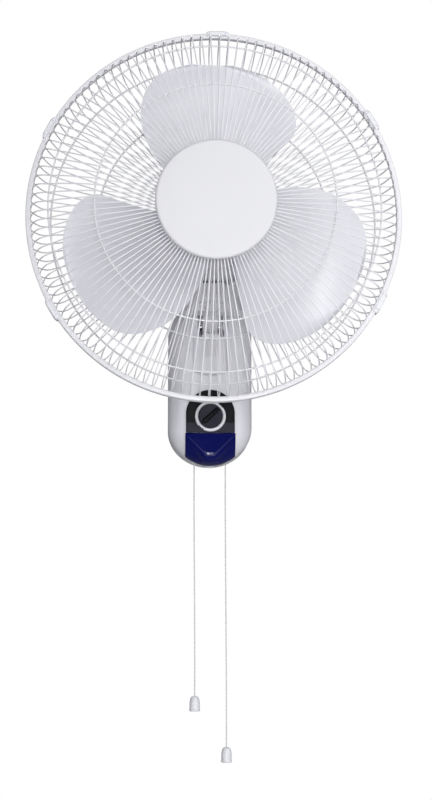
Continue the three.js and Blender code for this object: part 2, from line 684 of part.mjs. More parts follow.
function makeNeck() {
  const bottom = NECK_TOP - NECK_HEIGHT;
  const arm = new THREE.Shape();
  arm.absarc(TILT_OUT, TILT_HEIGHT, TONGUE_RADIUS, -Math.PI / 4, Math.PI, true);
  arm.lineTo(TILT_OUT - TONGUE_RADIUS, TILT_HEIGHT + 6);
  arm.quadraticCurveTo(TILT_OUT - 6, NECK_TOP - 3, TILT_OUT + 14, NECK_TOP);
  arm.lineTo(NECK_BACK + 6, NECK_TOP);
  arm.lineTo(NECK_BACK + 6, bottom + 1);
  arm.quadraticCurveTo(TILT_OUT + 24, bottom, TILT_OUT + 9.2, TILT_HEIGHT - 9.2);
  const block = new THREE.Shape();
  block.moveTo(NECK_BACK, NECK_TOP);
  block.lineTo(NECK_FRONT - 3, NECK_TOP);
  block.quadraticCurveTo(NECK_FRONT, NECK_TOP, NECK_FRONT, NECK_TOP - 3);
  block.lineTo(NECK_FRONT, bottom + 7);
  block.quadraticCurveTo(NECK_FRONT, bottom, NECK_FRONT - 9, bottom);
  block.lineTo(NECK_BACK + 4, bottom);
  block.quadraticCurveTo(NECK_BACK, bottom, NECK_BACK, bottom + 4);
  const post = turnedUpright(
    disc(POST_RADIUS, NECK_TOP - 2, NECK_TOP + POST_HEIGHT), 12, -POST_OFFSET, PAN_OUT);
  const foot = bottom - SADDLE_DROP;
  const bend = SADDLE_HALF_WIDTH - SADDLE_CORNER;
  const saddle = new THREE.Shape();
  saddle.moveTo(-SADDLE_HALF_WIDTH, NECK_TOP);
  saddle.lineTo(-SADDLE_HALF_WIDTH, foot + SADDLE_CORNER);
  saddle.quadraticCurveTo(-SADDLE_HALF_WIDTH, foot, -bend, foot);
  saddle.lineTo(bend, foot);
  saddle.quadraticCurveTo(SADDLE_HALF_WIDTH, foot, SADDLE_HALF_WIDTH, foot + SADDLE_CORNER);
  saddle.lineTo(SADDLE_HALF_WIDTH, NECK_TOP);
  const solid = join(
    spreadAcross(arm, TONGUE_WIDTH, 5),
    spreadAcross(block, NECK_WIDTH, 3),
    pushedOut(saddle, NECK_BACK, SADDLE_FRONT, 4),
    post,
  );
  const panBore = turnedUpright(
    disc(PAN_PIN_RADIUS + GAP, NECK_TOP - PAN_PIN_DEPTH, FAR), 16, 0, PAN_OUT);
  return cut(solid, panBore, pinAcross(PIN_RADIUS + PIN_FIT, 4 * TONGUE_WIDTH));
}

function makePanPin() {
  const bottom = NECK_TOP - PAN_PIN_DEPTH + GAP;
  return turnedUpright(disc(PAN_PIN_RADIUS, bottom, PAN_PIN_TOP), 16, 0, PAN_OUT);
}

// ---------------------------------------------------------------- motor
// A slot that is long from the axis outwards, at an angle round it.
function radialSlot(angle, [inner, outer], width, [from, to]) {
  const geometry = new THREE.BoxGeometry(outer - inner, to - from, width);
  geometry.translate((inner + outer) / 2, -(from + to) / 2, 0);
  geometry.rotateY(-angle);
  geometry.translate(0, 0, HEAD_HEIGHT);
  return toSolid(geometry);
}

const slots = (count, span, width, reach) =>
  range(count).map((i) => radialSlot((i / count) * 2 * Math.PI, span, width, reach));

function makeMotorFront() {
  const shell = turned(
    [
      [MOTOR_RADIUS - SHEET, MOTOR_SPLIT + GAP / 2],
      [MOTOR_RADIUS, MOTOR_SPLIT + GAP / 2],
      [MOTOR_RADIUS, MOTOR_FRONT - NOSE_DEPTH],
      [MOTOR_RADIUS - 3, MOTOR_FRONT - 6],
      [MOTOR_NOSE_RADIUS, MOTOR_FRONT],
      [COLLAR_RADIUS, MOTOR_FRONT],
      [COLLAR_RADIUS, MOTOR_FRONT + COLLAR_LENGTH],
      [BEARING_RADIUS + GAP, MOTOR_FRONT + COLLAR_LENGTH],
      [BEARING_RADIUS + GAP, MOTOR_FRONT - 8],
      [BEARING_RADIUS + 4, MOTOR_FRONT - 8],
      [BEARING_RADIUS + 4, MOTOR_FRONT - SHEET],
      [MOTOR_NOSE_RADIUS - 2, MOTOR_FRONT - SHEET],
      [MOTOR_RADIUS - SHEET, MOTOR_FRONT - NOSE_DEPTH],
      [MOTOR_RADIUS - SHEET, MOTOR_SPLIT + GAP / 2],
    ], 24);
  const socketHole = turnedUpright(
    disc(SOCKET_RADIUS + GAP, -FAR, HEAD_HEIGHT - STATOR_RADIUS), 16, 0, PAN_OUT);
  return cut(shell, socketHole,
    ...slots(NOSE_VENTS, NOSE_VENT_SPAN, NOSE_VENT_WIDTH, [MOTOR_FRONT - 2 * SHEET, FAR]));
}

function makeMotorRear() {
  const split = MOTOR_SPLIT - GAP / 2;
  const depth = MOTOR_SPLIT - MOTOR_BACK;
  const dome = (radius, length) =>
    range(5).map((i) => {
      const angle = (i / 4) * (Math.PI / 2);
      const reach = DOME_STRAIGHT + (1 - DOME_STRAIGHT) * Math.sin(angle);
      return [radius * Math.cos(angle), split - length * reach];
    });
  const outer = turned([[0, split], [MOTOR_RADIUS, split], ...dome(MOTOR_RADIUS, depth)], 24);
  const inner = turned(
    [[0, split + 1], [MOTOR_RADIUS - SHEET, split + 1], ...dome(MOTOR_RADIUS - SHEET, depth - SHEET)],
    18);
  const hubHole = fromBelow(CRANK_HUB + GAP, GEARBOX_BOTTOM + 1, 14, CRANK_X, CRANK_OUT);
  const sweep = CRANK_RADIUS + CRANK_EYE + CRANK_ROOM;
  const sweptRoom = fromBelow(sweep, CRANK_TOP + CRANK_ROOM, 24, CRANK_X, CRANK_OUT);
  return cut(outer, inner, hubHole, sweptRoom,
    ...slots(BACK_VENTS, BACK_VENT_SPAN, BACK_VENT_WIDTH, [0, (MOTOR_BACK + MOTOR_SPLIT) / 2]));
}

function makeBearing(from) {
  return turned(
    tube(SHAFT_RADIUS + PIN_FIT, BEARING_RADIUS, from, from + BEARING_WIDTH), 14);
}

const STATOR_BACK = STATOR_OUT - STATOR_LENGTH / 2;
const STATOR_FACE = STATOR_OUT + STATOR_LENGTH / 2;
const FRAME_REACH = 9; // the core's seats reach this far past it to the housing

// A laminated ring with coil slots open to its bore, on four feet that reach the housing.
function makeStator() {
  const ring = turned(tube(STATOR_BORE, STATOR_RADIUS, STATOR_BACK, STATOR_FACE), 24);
  const feet = range(4).map((i) =>
    radialSlot(radians(45 + 90 * i), [STATOR_RADIUS - 3, MOTOR_RADIUS - SHEET - 1], 12,
      [STATOR_BACK + 4, STATOR_FACE - 4]));
  return cut(join(ring, ...feet),
    ...slots(6, [STATOR_BORE - 3, 36], 8, [STATOR_BACK - 1, STATOR_FACE + 1]));
}

// The plate behind the motor that holds the rear bearing and the gearbox, bridging the core's bore.
function makeMotorFrame() {
  const back = STATOR_BACK - FRAME_REACH;
  const rim = STATOR_RADIUS - 5;
  return turned(
    [
      [BEARING_RADIUS + GAP, back - 4],
      [BEARING_RADIUS + 4, back - 4],
      [rim, back + 2],
      [rim, STATOR_BACK - GAP],
      [rim - 6, STATOR_BACK - GAP],
      [rim - 6, back + 5],
      [BEARING_RADIUS + GAP, back + 3],
      [BEARING_RADIUS + GAP, back - 4],
    ], 16);
}

// The lower half carries the swivel socket, so it sits under the core.
function makeSwivelSocket() {
  const top = HEAD_HEIGHT - STATOR_RADIUS - 1.2;
  const body = turnedUpright(disc(SOCKET_RADIUS, MOTOR_BOTTOM - 2, top), 16, 0, PAN_OUT);
  const bore = turnedUpright(
    disc(PAN_PIN_RADIUS + PIN_FIT, -FAR, PAN_PIN_TOP + GAP), 16, 0, PAN_OUT);
  return cut(body, bore);
}

// ---------------------------------------------------------------- oscillation drive
const CRANK_X = -POST_OFFSET + CRANK_RADIUS;
const CRANK_OUT = PAN_OUT - LINK_LENGTH;
const LINK_BOTTOM = NECK_TOP + GAP;
const CRANK_BOTTOM = LINK_BOTTOM + LINK_SHEET + 0.6;
const CRANK_TOP = CRANK_BOTTOM + CRANK_SHEET;
const GEARBOX_BOTTOM = MOTOR_BOTTOM + GEARBOX_RISE;

function makeGearbox() {
  return box(
    [CRANK_X - GEARBOX_WIDTH / 2, CRANK_X + GEARBOX_WIDTH / 2],
    [CRANK_OUT - 6, STATOR_BACK - FRAME_REACH - 4.5],
    [GEARBOX_BOTTOM, GEARBOX_BOTTOM + GEARBOX_HEIGHT],
  );
}

function makeCrank() {
  const arm = new THREE.Shape();
  arm.absarc(0, 0, CRANK_HUB, Math.PI / 2, (3 * Math.PI) / 2, false);
  arm.absarc(CRANK_RADIUS, 0, CRANK_EYE, -Math.PI / 2, Math.PI / 2, false);
  const plate = new THREE.ExtrudeGeometry(arm, {
    depth: CRANK_SHEET,
    bevelEnabled: false,
    curveSegments: 5,
  });
  plate.rotateZ(Math.PI);
  plate.translate(CRANK_X, -CRANK_OUT, CRANK_BOTTOM);
  const hub = turnedUpright(
    disc(CRANK_HUB - 0.5, CRANK_BOTTOM + 0.5, GEARBOX_BOTTOM - GAP), 14, CRANK_X, CRANK_OUT);
  const pin = turnedUpright(
    disc(2, CRANK_BOTTOM - 0.3, CRANK_BOTTOM + 0.5), 10, CRANK_X - CRANK_RADIUS, CRANK_OUT);
  return join(toSolid(plate), hub, pin);
}

function makeLink() {
  const bar = new THREE.Shape();
  const half = LINK_WIDTH / 2;
  bar.absarc(-POST_OFFSET, -PAN_OUT, half, Math.PI, 2 * Math.PI, false);
  bar.absarc(-POST_OFFSET, -CRANK_OUT, half, 0, Math.PI, false);
  [PAN_OUT, CRANK_OUT].forEach((out) => {
    const eye = new THREE.Path();
    eye.absarc(-POST_OFFSET, -out, POST_RADIUS + PIN_FIT, 0, 2 * Math.PI, true);
    bar.holes.push(eye);
  });
  const geometry = new THREE.ExtrudeGeometry(bar, {
    depth: LINK_SHEET,
    bevelEnabled: false,
    curveSegments: 5,
  });
  geometry.translate(0, 0, LINK_BOTTOM);
  return toSolid(geometry);
}

// ---------------------------------------------------------------- rotor and blades
const BLADE_HUB_BACK = BLADE_OUT - HUB_DEPTH / 2;
const BLADE_HUB_FRONT = BLADE_OUT + HUB_DEPTH / 2;

function makeShaft() {
  return turned(
    disc(SHAFT_RADIUS, STATOR_BACK - FRAME_REACH - 8, BLADE_HUB_FRONT + SPINNER_LENGTH - 4), 12);
}

function makeRotorCore() {
  const bore = SHAFT_RADIUS + GAP;
  return turned(
    tube(bore, ROTOR_RADIUS, STATOR_OUT - ROTOR_LENGTH / 2, STATOR_OUT + ROTOR_LENGTH / 2), 20);
}

// One blade as a thin shell over a grid: chord steps across, stations along the radius.
const CHORD_STEPS = 4;

function bladeSolid(turn) {
  const side = (sign) =>
    BLADE_STATIONS.map(({ at, lead, trail, deep }) =>
      range(CHORD_STEPS + 1).map((i) => {
        const share = (2 * i) / CHORD_STEPS - 1;
        const angle = radians(lead + ((trail - lead) * i) / CHORD_STEPS + turn + BLADE_TURN);
        const out = BLADE_OUT + BLADE_DEPTH * deep * share
          - BLADE_CAMBER * at * (1 - share * share)
          + (sign * BLADE_SHEET) / 2;
        const radius = at * BLADE_RADIUS;
        return new THREE.Vector3(
          radius * Math.cos(angle), -out, HEAD_HEIGHT + radius * Math.sin(angle));
      }));
  const front = side(1);
  const back = side(-1);
  const rings = front.map((row, k) => [...row, ...back[k].slice().reverse()]);
  return loft(rings);
}

function makeBlades() {
  const back = BLADE_HUB_BACK;
  const hub = turned(
    [
      [SHAFT_RADIUS + GAP, back + 6],
      [11, back + 6],
      [13, BLADE_HUB_FRONT - 3],
      [HUB_RADIUS - SHEET, BLADE_HUB_FRONT - 3],
      [HUB_RADIUS - SHEET, back],
      [HUB_RADIUS, back],
      [HUB_RADIUS - 1, BLADE_HUB_FRONT],
      [SHAFT_RADIUS + GAP, BLADE_HUB_FRONT],
      [SHAFT_RADIUS + GAP, back + 6],
    ], 24);
  const blades = range(BLADE_COUNT).map((i) => bladeSolid((360 / BLADE_COUNT) * i));
  return join(hub, ...blades);
}

function makeSpinner() {
  const back = BLADE_HUB_FRONT + GAP;
  return turned(
    [
      [SHAFT_RADIUS + GAP, back],
      [SPINNER_RADIUS, back],
      [SPINNER_RADIUS - 1, back + SPINNER_LENGTH - 4],
      [SPINNER_RADIUS - 5, back + SPINNER_LENGTH],
      [0, back + SPINNER_LENGTH],
      [0, back + SPINNER_LENGTH - 3],
      [SHAFT_RADIUS + GAP, back + SPINNER_LENGTH - 3],
      [SHAFT_RADIUS + GAP, back],
    ], 16);
}

// ---------------------------------------------------------------- guard
// A mitred wire: its section is carried straight along each stretch and cut off on the plane
// that halves the bend there, so each of its faces stays flat.
function wire(points, radius, sides) {
  const ways = points.slice(1).map((p, k) => p.clone().sub(points[k]).normalize());
  const across = new THREE.Vector3().crossVectors(ways[0], new THREE.Vector3(0, 1, 0)).normalize();
  const up = new THREE.Vector3().crossVectors(across, ways[0]);
  const start = range(sides).map((i) => {
    const angle = ((i + 0.25) / sides) * 2 * Math.PI;
    return points[0].clone()
      .addScaledVector(across, radius * Math.cos(angle))
      .addScaledVector(up, radius * Math.sin(angle));
  });
  const rings = [start];
  ways.forEach((way, k) => {
    const normal = way.clone().add(ways[k + 1] ?? way);
    const end = points[k + 1];
    rings.push(rings[k].map((corner) => {
      const travel = end.clone().sub(corner).dot(normal) / way.dot(normal);
      return corner.clone().addScaledVector(way, travel);
    }));
  });
  return loft(rings);
}

const onGuard = (radius, out, angle) =>
  new THREE.Vector3(
    radius * Math.cos(angle), -(RIM_OUT + out), HEAD_HEIGHT + radius * Math.sin(angle));

// A closed hoop or cross ring with a many sided section, one flat of which faces an angle.
function ringBar(radius, out, thickness, sides, segments, facing = 0) {
  const section = range(sides + 1).map((i) => {
    const angle = facing + ((i + 0.5) / sides) * 2 * Math.PI;
    return [
      radius + (thickness / 2) * Math.cos(angle),
      RIM_OUT + out + (thickness / 2) * Math.sin(angle),
    ];
  });
  return turned(section, segments);
}

const HOOP_RADIUS = GUARD_RADIUS - HOOP_DIAMETER / 2;
const REAR_HOOP_OUT = -HOOP_DIAMETER - GAP;

// The stations of a wire, each a radius and a distance in front of the rim.
const FRONT_STATIONS = [
  { radius: FRONT_HUB_RADIUS - HUB_GRIP, out: FRONT_HUB_OUT },
  { radius: FRONT_INNER_RADIUS, out: FRONT_INNER_OUT },
  { radius: FRONT_SHOULDER_RADIUS, out: FRONT_SHOULDER_OUT },
  { radius: HOOP_RADIUS, out: 0 },
];
const REAR_STATIONS = [
  { radius: REAR_HUB_RADIUS - HUB_GRIP, out: REAR_HUB_OUT },
  { radius: REAR_SHOULDER_RADIUS, out: REAR_SHOULDER_OUT },
  { radius: HOOP_RADIUS, out: REAR_HOOP_OUT },
];

// The radial wires and the hoop that they are welded to, for one half of the guard.
function guardHalf(stations) {
  const [before, end] = stations.slice(-2);
  const arrival = Math.atan2(before.out - end.out, before.radius - end.radius);
  const hoop = ringBar(HOOP_RADIUS, end.out, HOOP_DIAMETER, 5, 60, arrival);
  const wires = range(WIRES).map((i) => {
    const angle = ((i + 0.5) / WIRES) * 2 * Math.PI;
    const points = stations.map(({ radius, out }) => onGuard(radius, out, angle));
    return wire(points, WIRE_DIAMETER / 2, 3);
  });
  return join(hoop, ...wires);
}

// Where a piece lies that is welded to the wires' inner side at a radius: the wire's own
// place there, moved along the inward normal, or along the mean of two where the wire bends.
function seatInside(stations, radius, clear) {
  const inward = Math.sign(-stations[0].out);
  const normal = ([from, to]) => {
    const across = to.radius - from.radius;
    const rise = to.out - from.out;
    const length = Math.hypot(across, rise);
    return { radius: (-inward * rise) / length, out: (inward * across) / length };
  };
  const stretches = stations.slice(1).map((to, k) => [stations[k], to]);
  const touching = stretches.filter(([from, to]) => from.radius <= radius && radius <= to.radius);
  const normals = touching.map(normal);
  const mean = { radius: 0, out: 0 };
  normals.forEach((n) => {
    mean.radius += n.radius / normals.length;
    mean.out += n.out / normals.length;
  });
  const reach = clear / (mean.radius ** 2 + mean.out ** 2);
  const [from, to] = touching[0];
  const share = (radius - from.radius) / (to.radius - from.radius);
  return {
    radius: radius + mean.radius * reach,
    out: from.out + (to.out - from.out) * share + mean.out * reach,
  };
}

// The plate that the wires' inner ends are welded to.
function hubPlate(stations, radius, bore) {
  const seat = seatInside(stations, radius, WIRE_DIAMETER / 2 + GAP);
  const face = RIM_OUT + seat.out;
  return turned(tube(bore, radius, face - Math.sign(seat.out) * HUB_PLATE, face), 36);
}

function crossRing(stations, radius) {
  const clear = WIRE_DIAMETER / 2 + CROSS_RING_DIAMETER / 2 + GAP;
  const seat = seatInside(stations, radius, clear);
  return ringBar(seat.radius, seat.out, CROSS_RING_DIAMETER, 3, 40);
}

function makeBadge() {
  const back = RIM_OUT + FRONT_HUB_OUT + WIRE_DIAMETER / 2 + GAP;
  const face = back + BADGE_THICKNESS;
  return turned(
    [
      [0, back],
      [BADGE_RADIUS - 1.5, back],
      [BADGE_RADIUS, back + 1.5],
      [BADGE_RADIUS, face - 2],
      [BADGE_RADIUS - 2, face],
      [0, face],
    ], 40);
}

function makeGuardNut() {
  const seat = seatInside(REAR_STATIONS, REAR_HUB_RADIUS, WIRE_DIAMETER / 2 + GAP);
  const back = RIM_OUT + seat.out + HUB_PLATE + GAP;
  const face = back + NUT_THICKNESS;
  const bore = COLLAR_RADIUS + THREAD_FIT;
  const body = turned(
    [
      [bore, back],
      [NUT_RADIUS, back],
      [NUT_RADIUS, back + 3],
      [NUT_RADIUS - 5, face],
      [bore, face],
      [bore, back],
    ], 18);
  const grips = range(6).map((i) =>
    radialSlot(radians(60 * i), [NUT_RADIUS - 4, NUT_RADIUS + 4], 9, [back + 3, face + 1]));
  return cut(body, ...grips);
}

// A clip is a short channel that bends round both hoops from outside.
function makeClip(angle) {
  const half = HOOP_DIAMETER / 2 + 0.5;
  const front = RIM_OUT + half;
  const back = RIM_OUT + REAR_HOOP_OUT - half;
  const outer = HOOP_RADIUS + half;
  const inner = HOOP_RADIUS - 0.2;
  const spread = CLIP_LENGTH / HOOP_RADIUS / 2;
  const sector = (profile, sweep) => {
    const points = profile.map(([radius, out]) => new THREE.Vector2(radius, -out));
    points.push(points[0].clone());
    const rings = range(4).map((i) => {
      const at = angle - sweep + (2 * sweep * i) / 3;
      return points.slice(0, -1).map((p) =>
        new THREE.Vector3(p.x * Math.cos(at), p.y, HEAD_HEIGHT + p.x * Math.sin(at)));
    });
    return loft(rings);
  };
  const block = sector(
    [
      [inner, back - CLIP_SHEET],
      [outer + CLIP_SHEET - 1, back - CLIP_SHEET],
      [outer + CLIP_SHEET, back - CLIP_SHEET + 1],
      [outer + CLIP_SHEET, front + CLIP_SHEET - 1],
      [outer + CLIP_SHEET - 1, front + CLIP_SHEET],
      [inner, front + CLIP_SHEET],
    ], spread);
  const hollow = sector(
    [
      [inner - 5, back],
      [outer, back],
      [outer, front],
      [inner - 5, front],
    ], spread * 1.2);
  return cut(block, hollow);
}

// ---------------------------------------------------------------- assembly
addPart("rear_cover", makeRearCover(), white);
addPart("front_housing", makeFrontHousing(), white);
addPart("cable_gland", makeCableGland(), white);
addPart("control_panel", makeControlPanel(), black);
addPart("panel_lens", makeLens(), blue);
addPart("switch_bracket", makeSwitchBracket(), steel);
addPart("rotary_switch", makeRotarySwitch(), switchPlastic);
addPart("control_shaft", makeControlShaft(), steel);
addPart("knob_ring", makeKnobRing(), white);
addPart("knob", makeKnob(), darkGrey);
[["left", -1, LEFT_CORD_LENGTH], ["right", 1, RIGHT_CORD_LENGTH]].forEach(([name, side, length]) => {
  addPart("pull_switch_" + name, makePullSwitch(side), switchPlastic);
  addPart("cord_bush_" + name, makeCordBush(side), white);
  addPart("pull_cord_" + name, makeCord(side, length), cordWhite);
  addPart("pull_bell_" + name, makeBell(side, length), white);
});
addPart("tilt_bracket", makeTiltBracket(), steel);
addPart("tilt_pin", makeTiltPin(), steel);
addPart("neck", makeNeck(), white);
addPart("pan_pin", makePanPin(), steel);
addPart("swivel_socket", makeSwivelSocket(), steel);
addPart("motor_front_cover", makeMotorFront(), white);
addPart("motor_rear_cover", makeMotorRear(), white);
addPart("motor_frame", makeMotorFrame(), steel);
addPart("stator_core", makeStator(), core);
addPart("bearing_front", makeBearing(MOTOR_FRONT - 7), steel);
addPart("bearing_rear", makeBearing(STATOR_BACK - FRAME_REACH - 4), steel);
addPart("rotor_core", makeRotorCore(), core);
addPart("motor_shaft", makeShaft(), steel);
addPart("gearbox", makeGearbox(), switchPlastic);
addPart("crank", makeCrank(), steel);
addPart("link", makeLink(), steel);
addPart("fan_blades", makeBlades(), bladeGrey);
addPart("blade_nut", makeSpinner(), white);
addPart("guard_nut", makeGuardNut(), white);
addPart("rear_guard", guardHalf(REAR_STATIONS), guardWhite);
addPart("front_guard", guardHalf(FRONT_STATIONS), guardWhite);
addPart(
  "rear_hub_plate", hubPlate(REAR_STATIONS, REAR_HUB_RADIUS, COLLAR_RADIUS + GAP), guardWhite);
addPart(
  "front_hub_plate",
  hubPlate(FRONT_STATIONS, FRONT_HUB_RADIUS, FRONT_HUB_RADIUS - FRONT_HUB_WIDTH),
  guardWhite,
);
addPart("front_ring_inner", crossRing(FRONT_STATIONS, FRONT_INNER_RADIUS), guardWhite);
addPart("front_ring_outer", crossRing(FRONT_STATIONS, FRONT_OUTER_RADIUS), guardWhite);
addPart("rear_ring_inner", crossRing(REAR_STATIONS, REAR_INNER_RADIUS), guardWhite);
addPart("rear_ring_outer", crossRing(REAR_STATIONS, REAR_OUTER_RADIUS), guardWhite);
addPart("badge", makeBadge(), badgeGrey);
CLIP_ANGLES.forEach((angle, i) => {
  addPart("rim_clip_" + (i + 1), makeClip(radians(angle)), guardWhite);
});

export default parts;
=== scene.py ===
"""Looks of the wall mounted fan: fine meshes, finishes, cords, camera and light.

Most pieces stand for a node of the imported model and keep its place. A few are small trims that
only the looks have. Sizes are in millimetres, and at() turns them into metres."""

import json
import math

import bmesh
import bpy
from mathutils import Vector
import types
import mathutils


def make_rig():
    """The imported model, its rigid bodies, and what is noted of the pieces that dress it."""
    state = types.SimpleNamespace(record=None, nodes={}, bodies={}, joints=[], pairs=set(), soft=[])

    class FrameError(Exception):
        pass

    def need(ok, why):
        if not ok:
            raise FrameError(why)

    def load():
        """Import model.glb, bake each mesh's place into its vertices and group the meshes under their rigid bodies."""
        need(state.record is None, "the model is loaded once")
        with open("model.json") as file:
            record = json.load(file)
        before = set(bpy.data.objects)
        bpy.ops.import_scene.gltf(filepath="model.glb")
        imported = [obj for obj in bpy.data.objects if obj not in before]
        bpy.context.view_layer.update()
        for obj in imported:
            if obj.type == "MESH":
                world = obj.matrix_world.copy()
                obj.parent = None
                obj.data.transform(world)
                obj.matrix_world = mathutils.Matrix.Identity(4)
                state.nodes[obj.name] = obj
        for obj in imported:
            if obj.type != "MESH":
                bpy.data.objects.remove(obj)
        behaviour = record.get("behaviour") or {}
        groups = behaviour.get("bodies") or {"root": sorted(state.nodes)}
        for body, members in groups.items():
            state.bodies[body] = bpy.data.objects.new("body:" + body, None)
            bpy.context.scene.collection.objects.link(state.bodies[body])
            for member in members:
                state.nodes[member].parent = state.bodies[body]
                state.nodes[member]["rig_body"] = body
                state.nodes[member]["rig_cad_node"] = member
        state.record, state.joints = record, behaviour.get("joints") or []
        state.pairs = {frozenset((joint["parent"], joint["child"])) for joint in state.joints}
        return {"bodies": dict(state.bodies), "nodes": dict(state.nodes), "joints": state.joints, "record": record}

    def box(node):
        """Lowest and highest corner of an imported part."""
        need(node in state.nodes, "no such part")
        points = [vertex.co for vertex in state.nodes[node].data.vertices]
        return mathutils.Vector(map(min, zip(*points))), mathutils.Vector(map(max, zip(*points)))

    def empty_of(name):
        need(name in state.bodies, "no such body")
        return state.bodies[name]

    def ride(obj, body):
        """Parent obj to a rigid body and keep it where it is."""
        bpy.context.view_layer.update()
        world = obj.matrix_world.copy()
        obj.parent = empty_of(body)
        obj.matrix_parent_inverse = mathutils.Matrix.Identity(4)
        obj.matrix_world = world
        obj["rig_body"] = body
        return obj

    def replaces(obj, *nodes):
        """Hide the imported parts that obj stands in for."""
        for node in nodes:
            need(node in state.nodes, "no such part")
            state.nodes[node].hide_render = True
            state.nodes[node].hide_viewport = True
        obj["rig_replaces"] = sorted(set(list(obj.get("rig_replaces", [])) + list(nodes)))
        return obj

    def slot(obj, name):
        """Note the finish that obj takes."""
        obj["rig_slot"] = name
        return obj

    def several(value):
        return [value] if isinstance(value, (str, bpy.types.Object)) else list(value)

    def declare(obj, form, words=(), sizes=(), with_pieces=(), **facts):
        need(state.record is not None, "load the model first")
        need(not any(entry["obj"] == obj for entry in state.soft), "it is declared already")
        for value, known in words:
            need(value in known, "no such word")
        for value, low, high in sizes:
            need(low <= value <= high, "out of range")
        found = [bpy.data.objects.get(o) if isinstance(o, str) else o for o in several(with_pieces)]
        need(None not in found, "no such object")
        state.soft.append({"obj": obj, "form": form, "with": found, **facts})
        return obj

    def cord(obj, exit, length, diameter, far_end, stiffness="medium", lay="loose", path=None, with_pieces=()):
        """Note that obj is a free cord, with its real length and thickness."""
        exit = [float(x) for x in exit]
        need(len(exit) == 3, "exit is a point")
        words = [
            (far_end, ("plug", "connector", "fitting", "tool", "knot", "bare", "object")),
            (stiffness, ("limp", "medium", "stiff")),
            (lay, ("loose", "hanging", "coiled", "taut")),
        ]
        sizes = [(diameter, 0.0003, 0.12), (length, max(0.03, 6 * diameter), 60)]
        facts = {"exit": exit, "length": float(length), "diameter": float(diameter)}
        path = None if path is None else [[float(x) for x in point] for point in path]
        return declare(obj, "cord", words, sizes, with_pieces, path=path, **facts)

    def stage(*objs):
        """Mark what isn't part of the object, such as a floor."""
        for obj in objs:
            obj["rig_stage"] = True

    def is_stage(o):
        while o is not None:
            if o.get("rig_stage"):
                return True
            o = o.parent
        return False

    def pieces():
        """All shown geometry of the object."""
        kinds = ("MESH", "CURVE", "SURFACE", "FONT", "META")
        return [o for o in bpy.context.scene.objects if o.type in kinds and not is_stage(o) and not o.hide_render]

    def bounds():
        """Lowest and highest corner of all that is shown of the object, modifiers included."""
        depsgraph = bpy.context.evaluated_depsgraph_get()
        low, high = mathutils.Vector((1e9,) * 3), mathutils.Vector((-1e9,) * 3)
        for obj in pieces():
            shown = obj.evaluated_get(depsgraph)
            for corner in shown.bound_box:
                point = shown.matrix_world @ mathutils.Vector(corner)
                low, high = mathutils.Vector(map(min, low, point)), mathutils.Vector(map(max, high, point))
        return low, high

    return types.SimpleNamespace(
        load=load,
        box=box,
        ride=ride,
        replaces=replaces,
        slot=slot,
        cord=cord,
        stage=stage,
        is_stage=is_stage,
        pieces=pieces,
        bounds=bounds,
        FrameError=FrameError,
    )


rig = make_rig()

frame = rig.load()
cad_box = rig.bounds()
record = frame["record"]
scene = bpy.context.scene
MM = 0.001

# ---- sizes, in millimetres
GAP = 0.3  # between pieces that don't touch
FAR = 400  # past the front of everything, for tools that cut

# column
COLUMN_HALF_WIDTH = 52
COLUMN_TOP = 93
COLUMN_TOP_ROUND = 41
COLUMN_BOTTOM = -110
COLUMN_BOTTOM_ROUND = 46
COLUMN_DEPTH = 74
EDGE_ROUND = 24
EDGE_DEPTH = 28
BACK_PLATE = 3
SHEET = 2.5
CHANNEL_WIDTH = 30
CHANNEL_BACK = 15
CHANNEL_BOTTOM = 51
SLOT_BOTTOM = 46.8
SLOT_WIDTH = 4.8
SLOT_MIDDLES = (-12.6, 13.9)
LEDGE_HALF_WIDTH = 9
LEDGE_HEIGHT = 1.8
LEDGE_REACH = 2.6
LABEL_LEFT = -8
LABEL_RIGHT = 9.5
LABEL_LOW = 21.5
LABEL_HIGH = 43
LABEL_EDGE = 0.4
LABEL_THICKNESS = 0.6
GROOVE_WIDTH = 42
GROOVE_BOTTOM = 1
GROOVE_DEPTH = 3.5
GROOVE_CORNER = 7
GROOVE_SAG = 5
KEYHOLE_SPACING = 56
KEYHOLE_HEIGHT = 44
KEYHOLE_HEAD = 4.8
KEYHOLE_SLOT = 2.4
KEYHOLE_LENGTH = 11
COVER_EDGE = 0.8
COVER_SCREWS = [(-38, 40), (38, 40), (-38, -60), (38, -60)]
SCREW_RECESS_RADIUS = 4.6
SCREW_RECESS_DEPTH = 1.4
SCREW_RADIUS = 3.6
SCREW_OUT = 1.3
CROSS_DEPTH = 0.5
CROSS_WIDTH = 0.8
GLAND_RADIUS = 6.8
GLAND_BORE = 4
GLAND_OUT = 18

# controls
PANEL_HALF_WIDTH = 30
PANEL_TOP = -20
PANEL_SPLIT = -73
PANEL_ARCH = 30
LENS_HALF_WIDTH = 30.8
LENS_BOTTOM = -112
LENS_SHOULDER = 11
SKIN_BACK = 49
SKIN = 1.8
LENS_SKIN = 3.2
# top of the paler band that paints the reflection on the panel's foot
SHEEN_BAND_TOP = -60.5
KNOB_HEIGHT = -53
SHAFT_HOLE_RADIUS = 4.2
CAP_BORE_RADIUS = 3.3
CAP_RADIUS = 14.5
KNOB_RING_RADIUS = 18.8
KNOB_THICKNESS = 9
KNOB_RING_THICKNESS = KNOB_THICKNESS * 0.55
KNOB_BACK = COLUMN_DEPTH + GAP + SKIN + GAP
NOTCH_RADIUS = 1.1
NOTCH_ANGLES = [38, 46, 54, 222, 230, 238]
GRIP_HALF_WIDTH = 3
GRIP_ANGLE = 42
GRIP_STEPS = [(-0.9, 0), (1.6, 0), (2.6, 0.5), (3.1, 1.3), (3.2, 2.2)]  # rise and inset

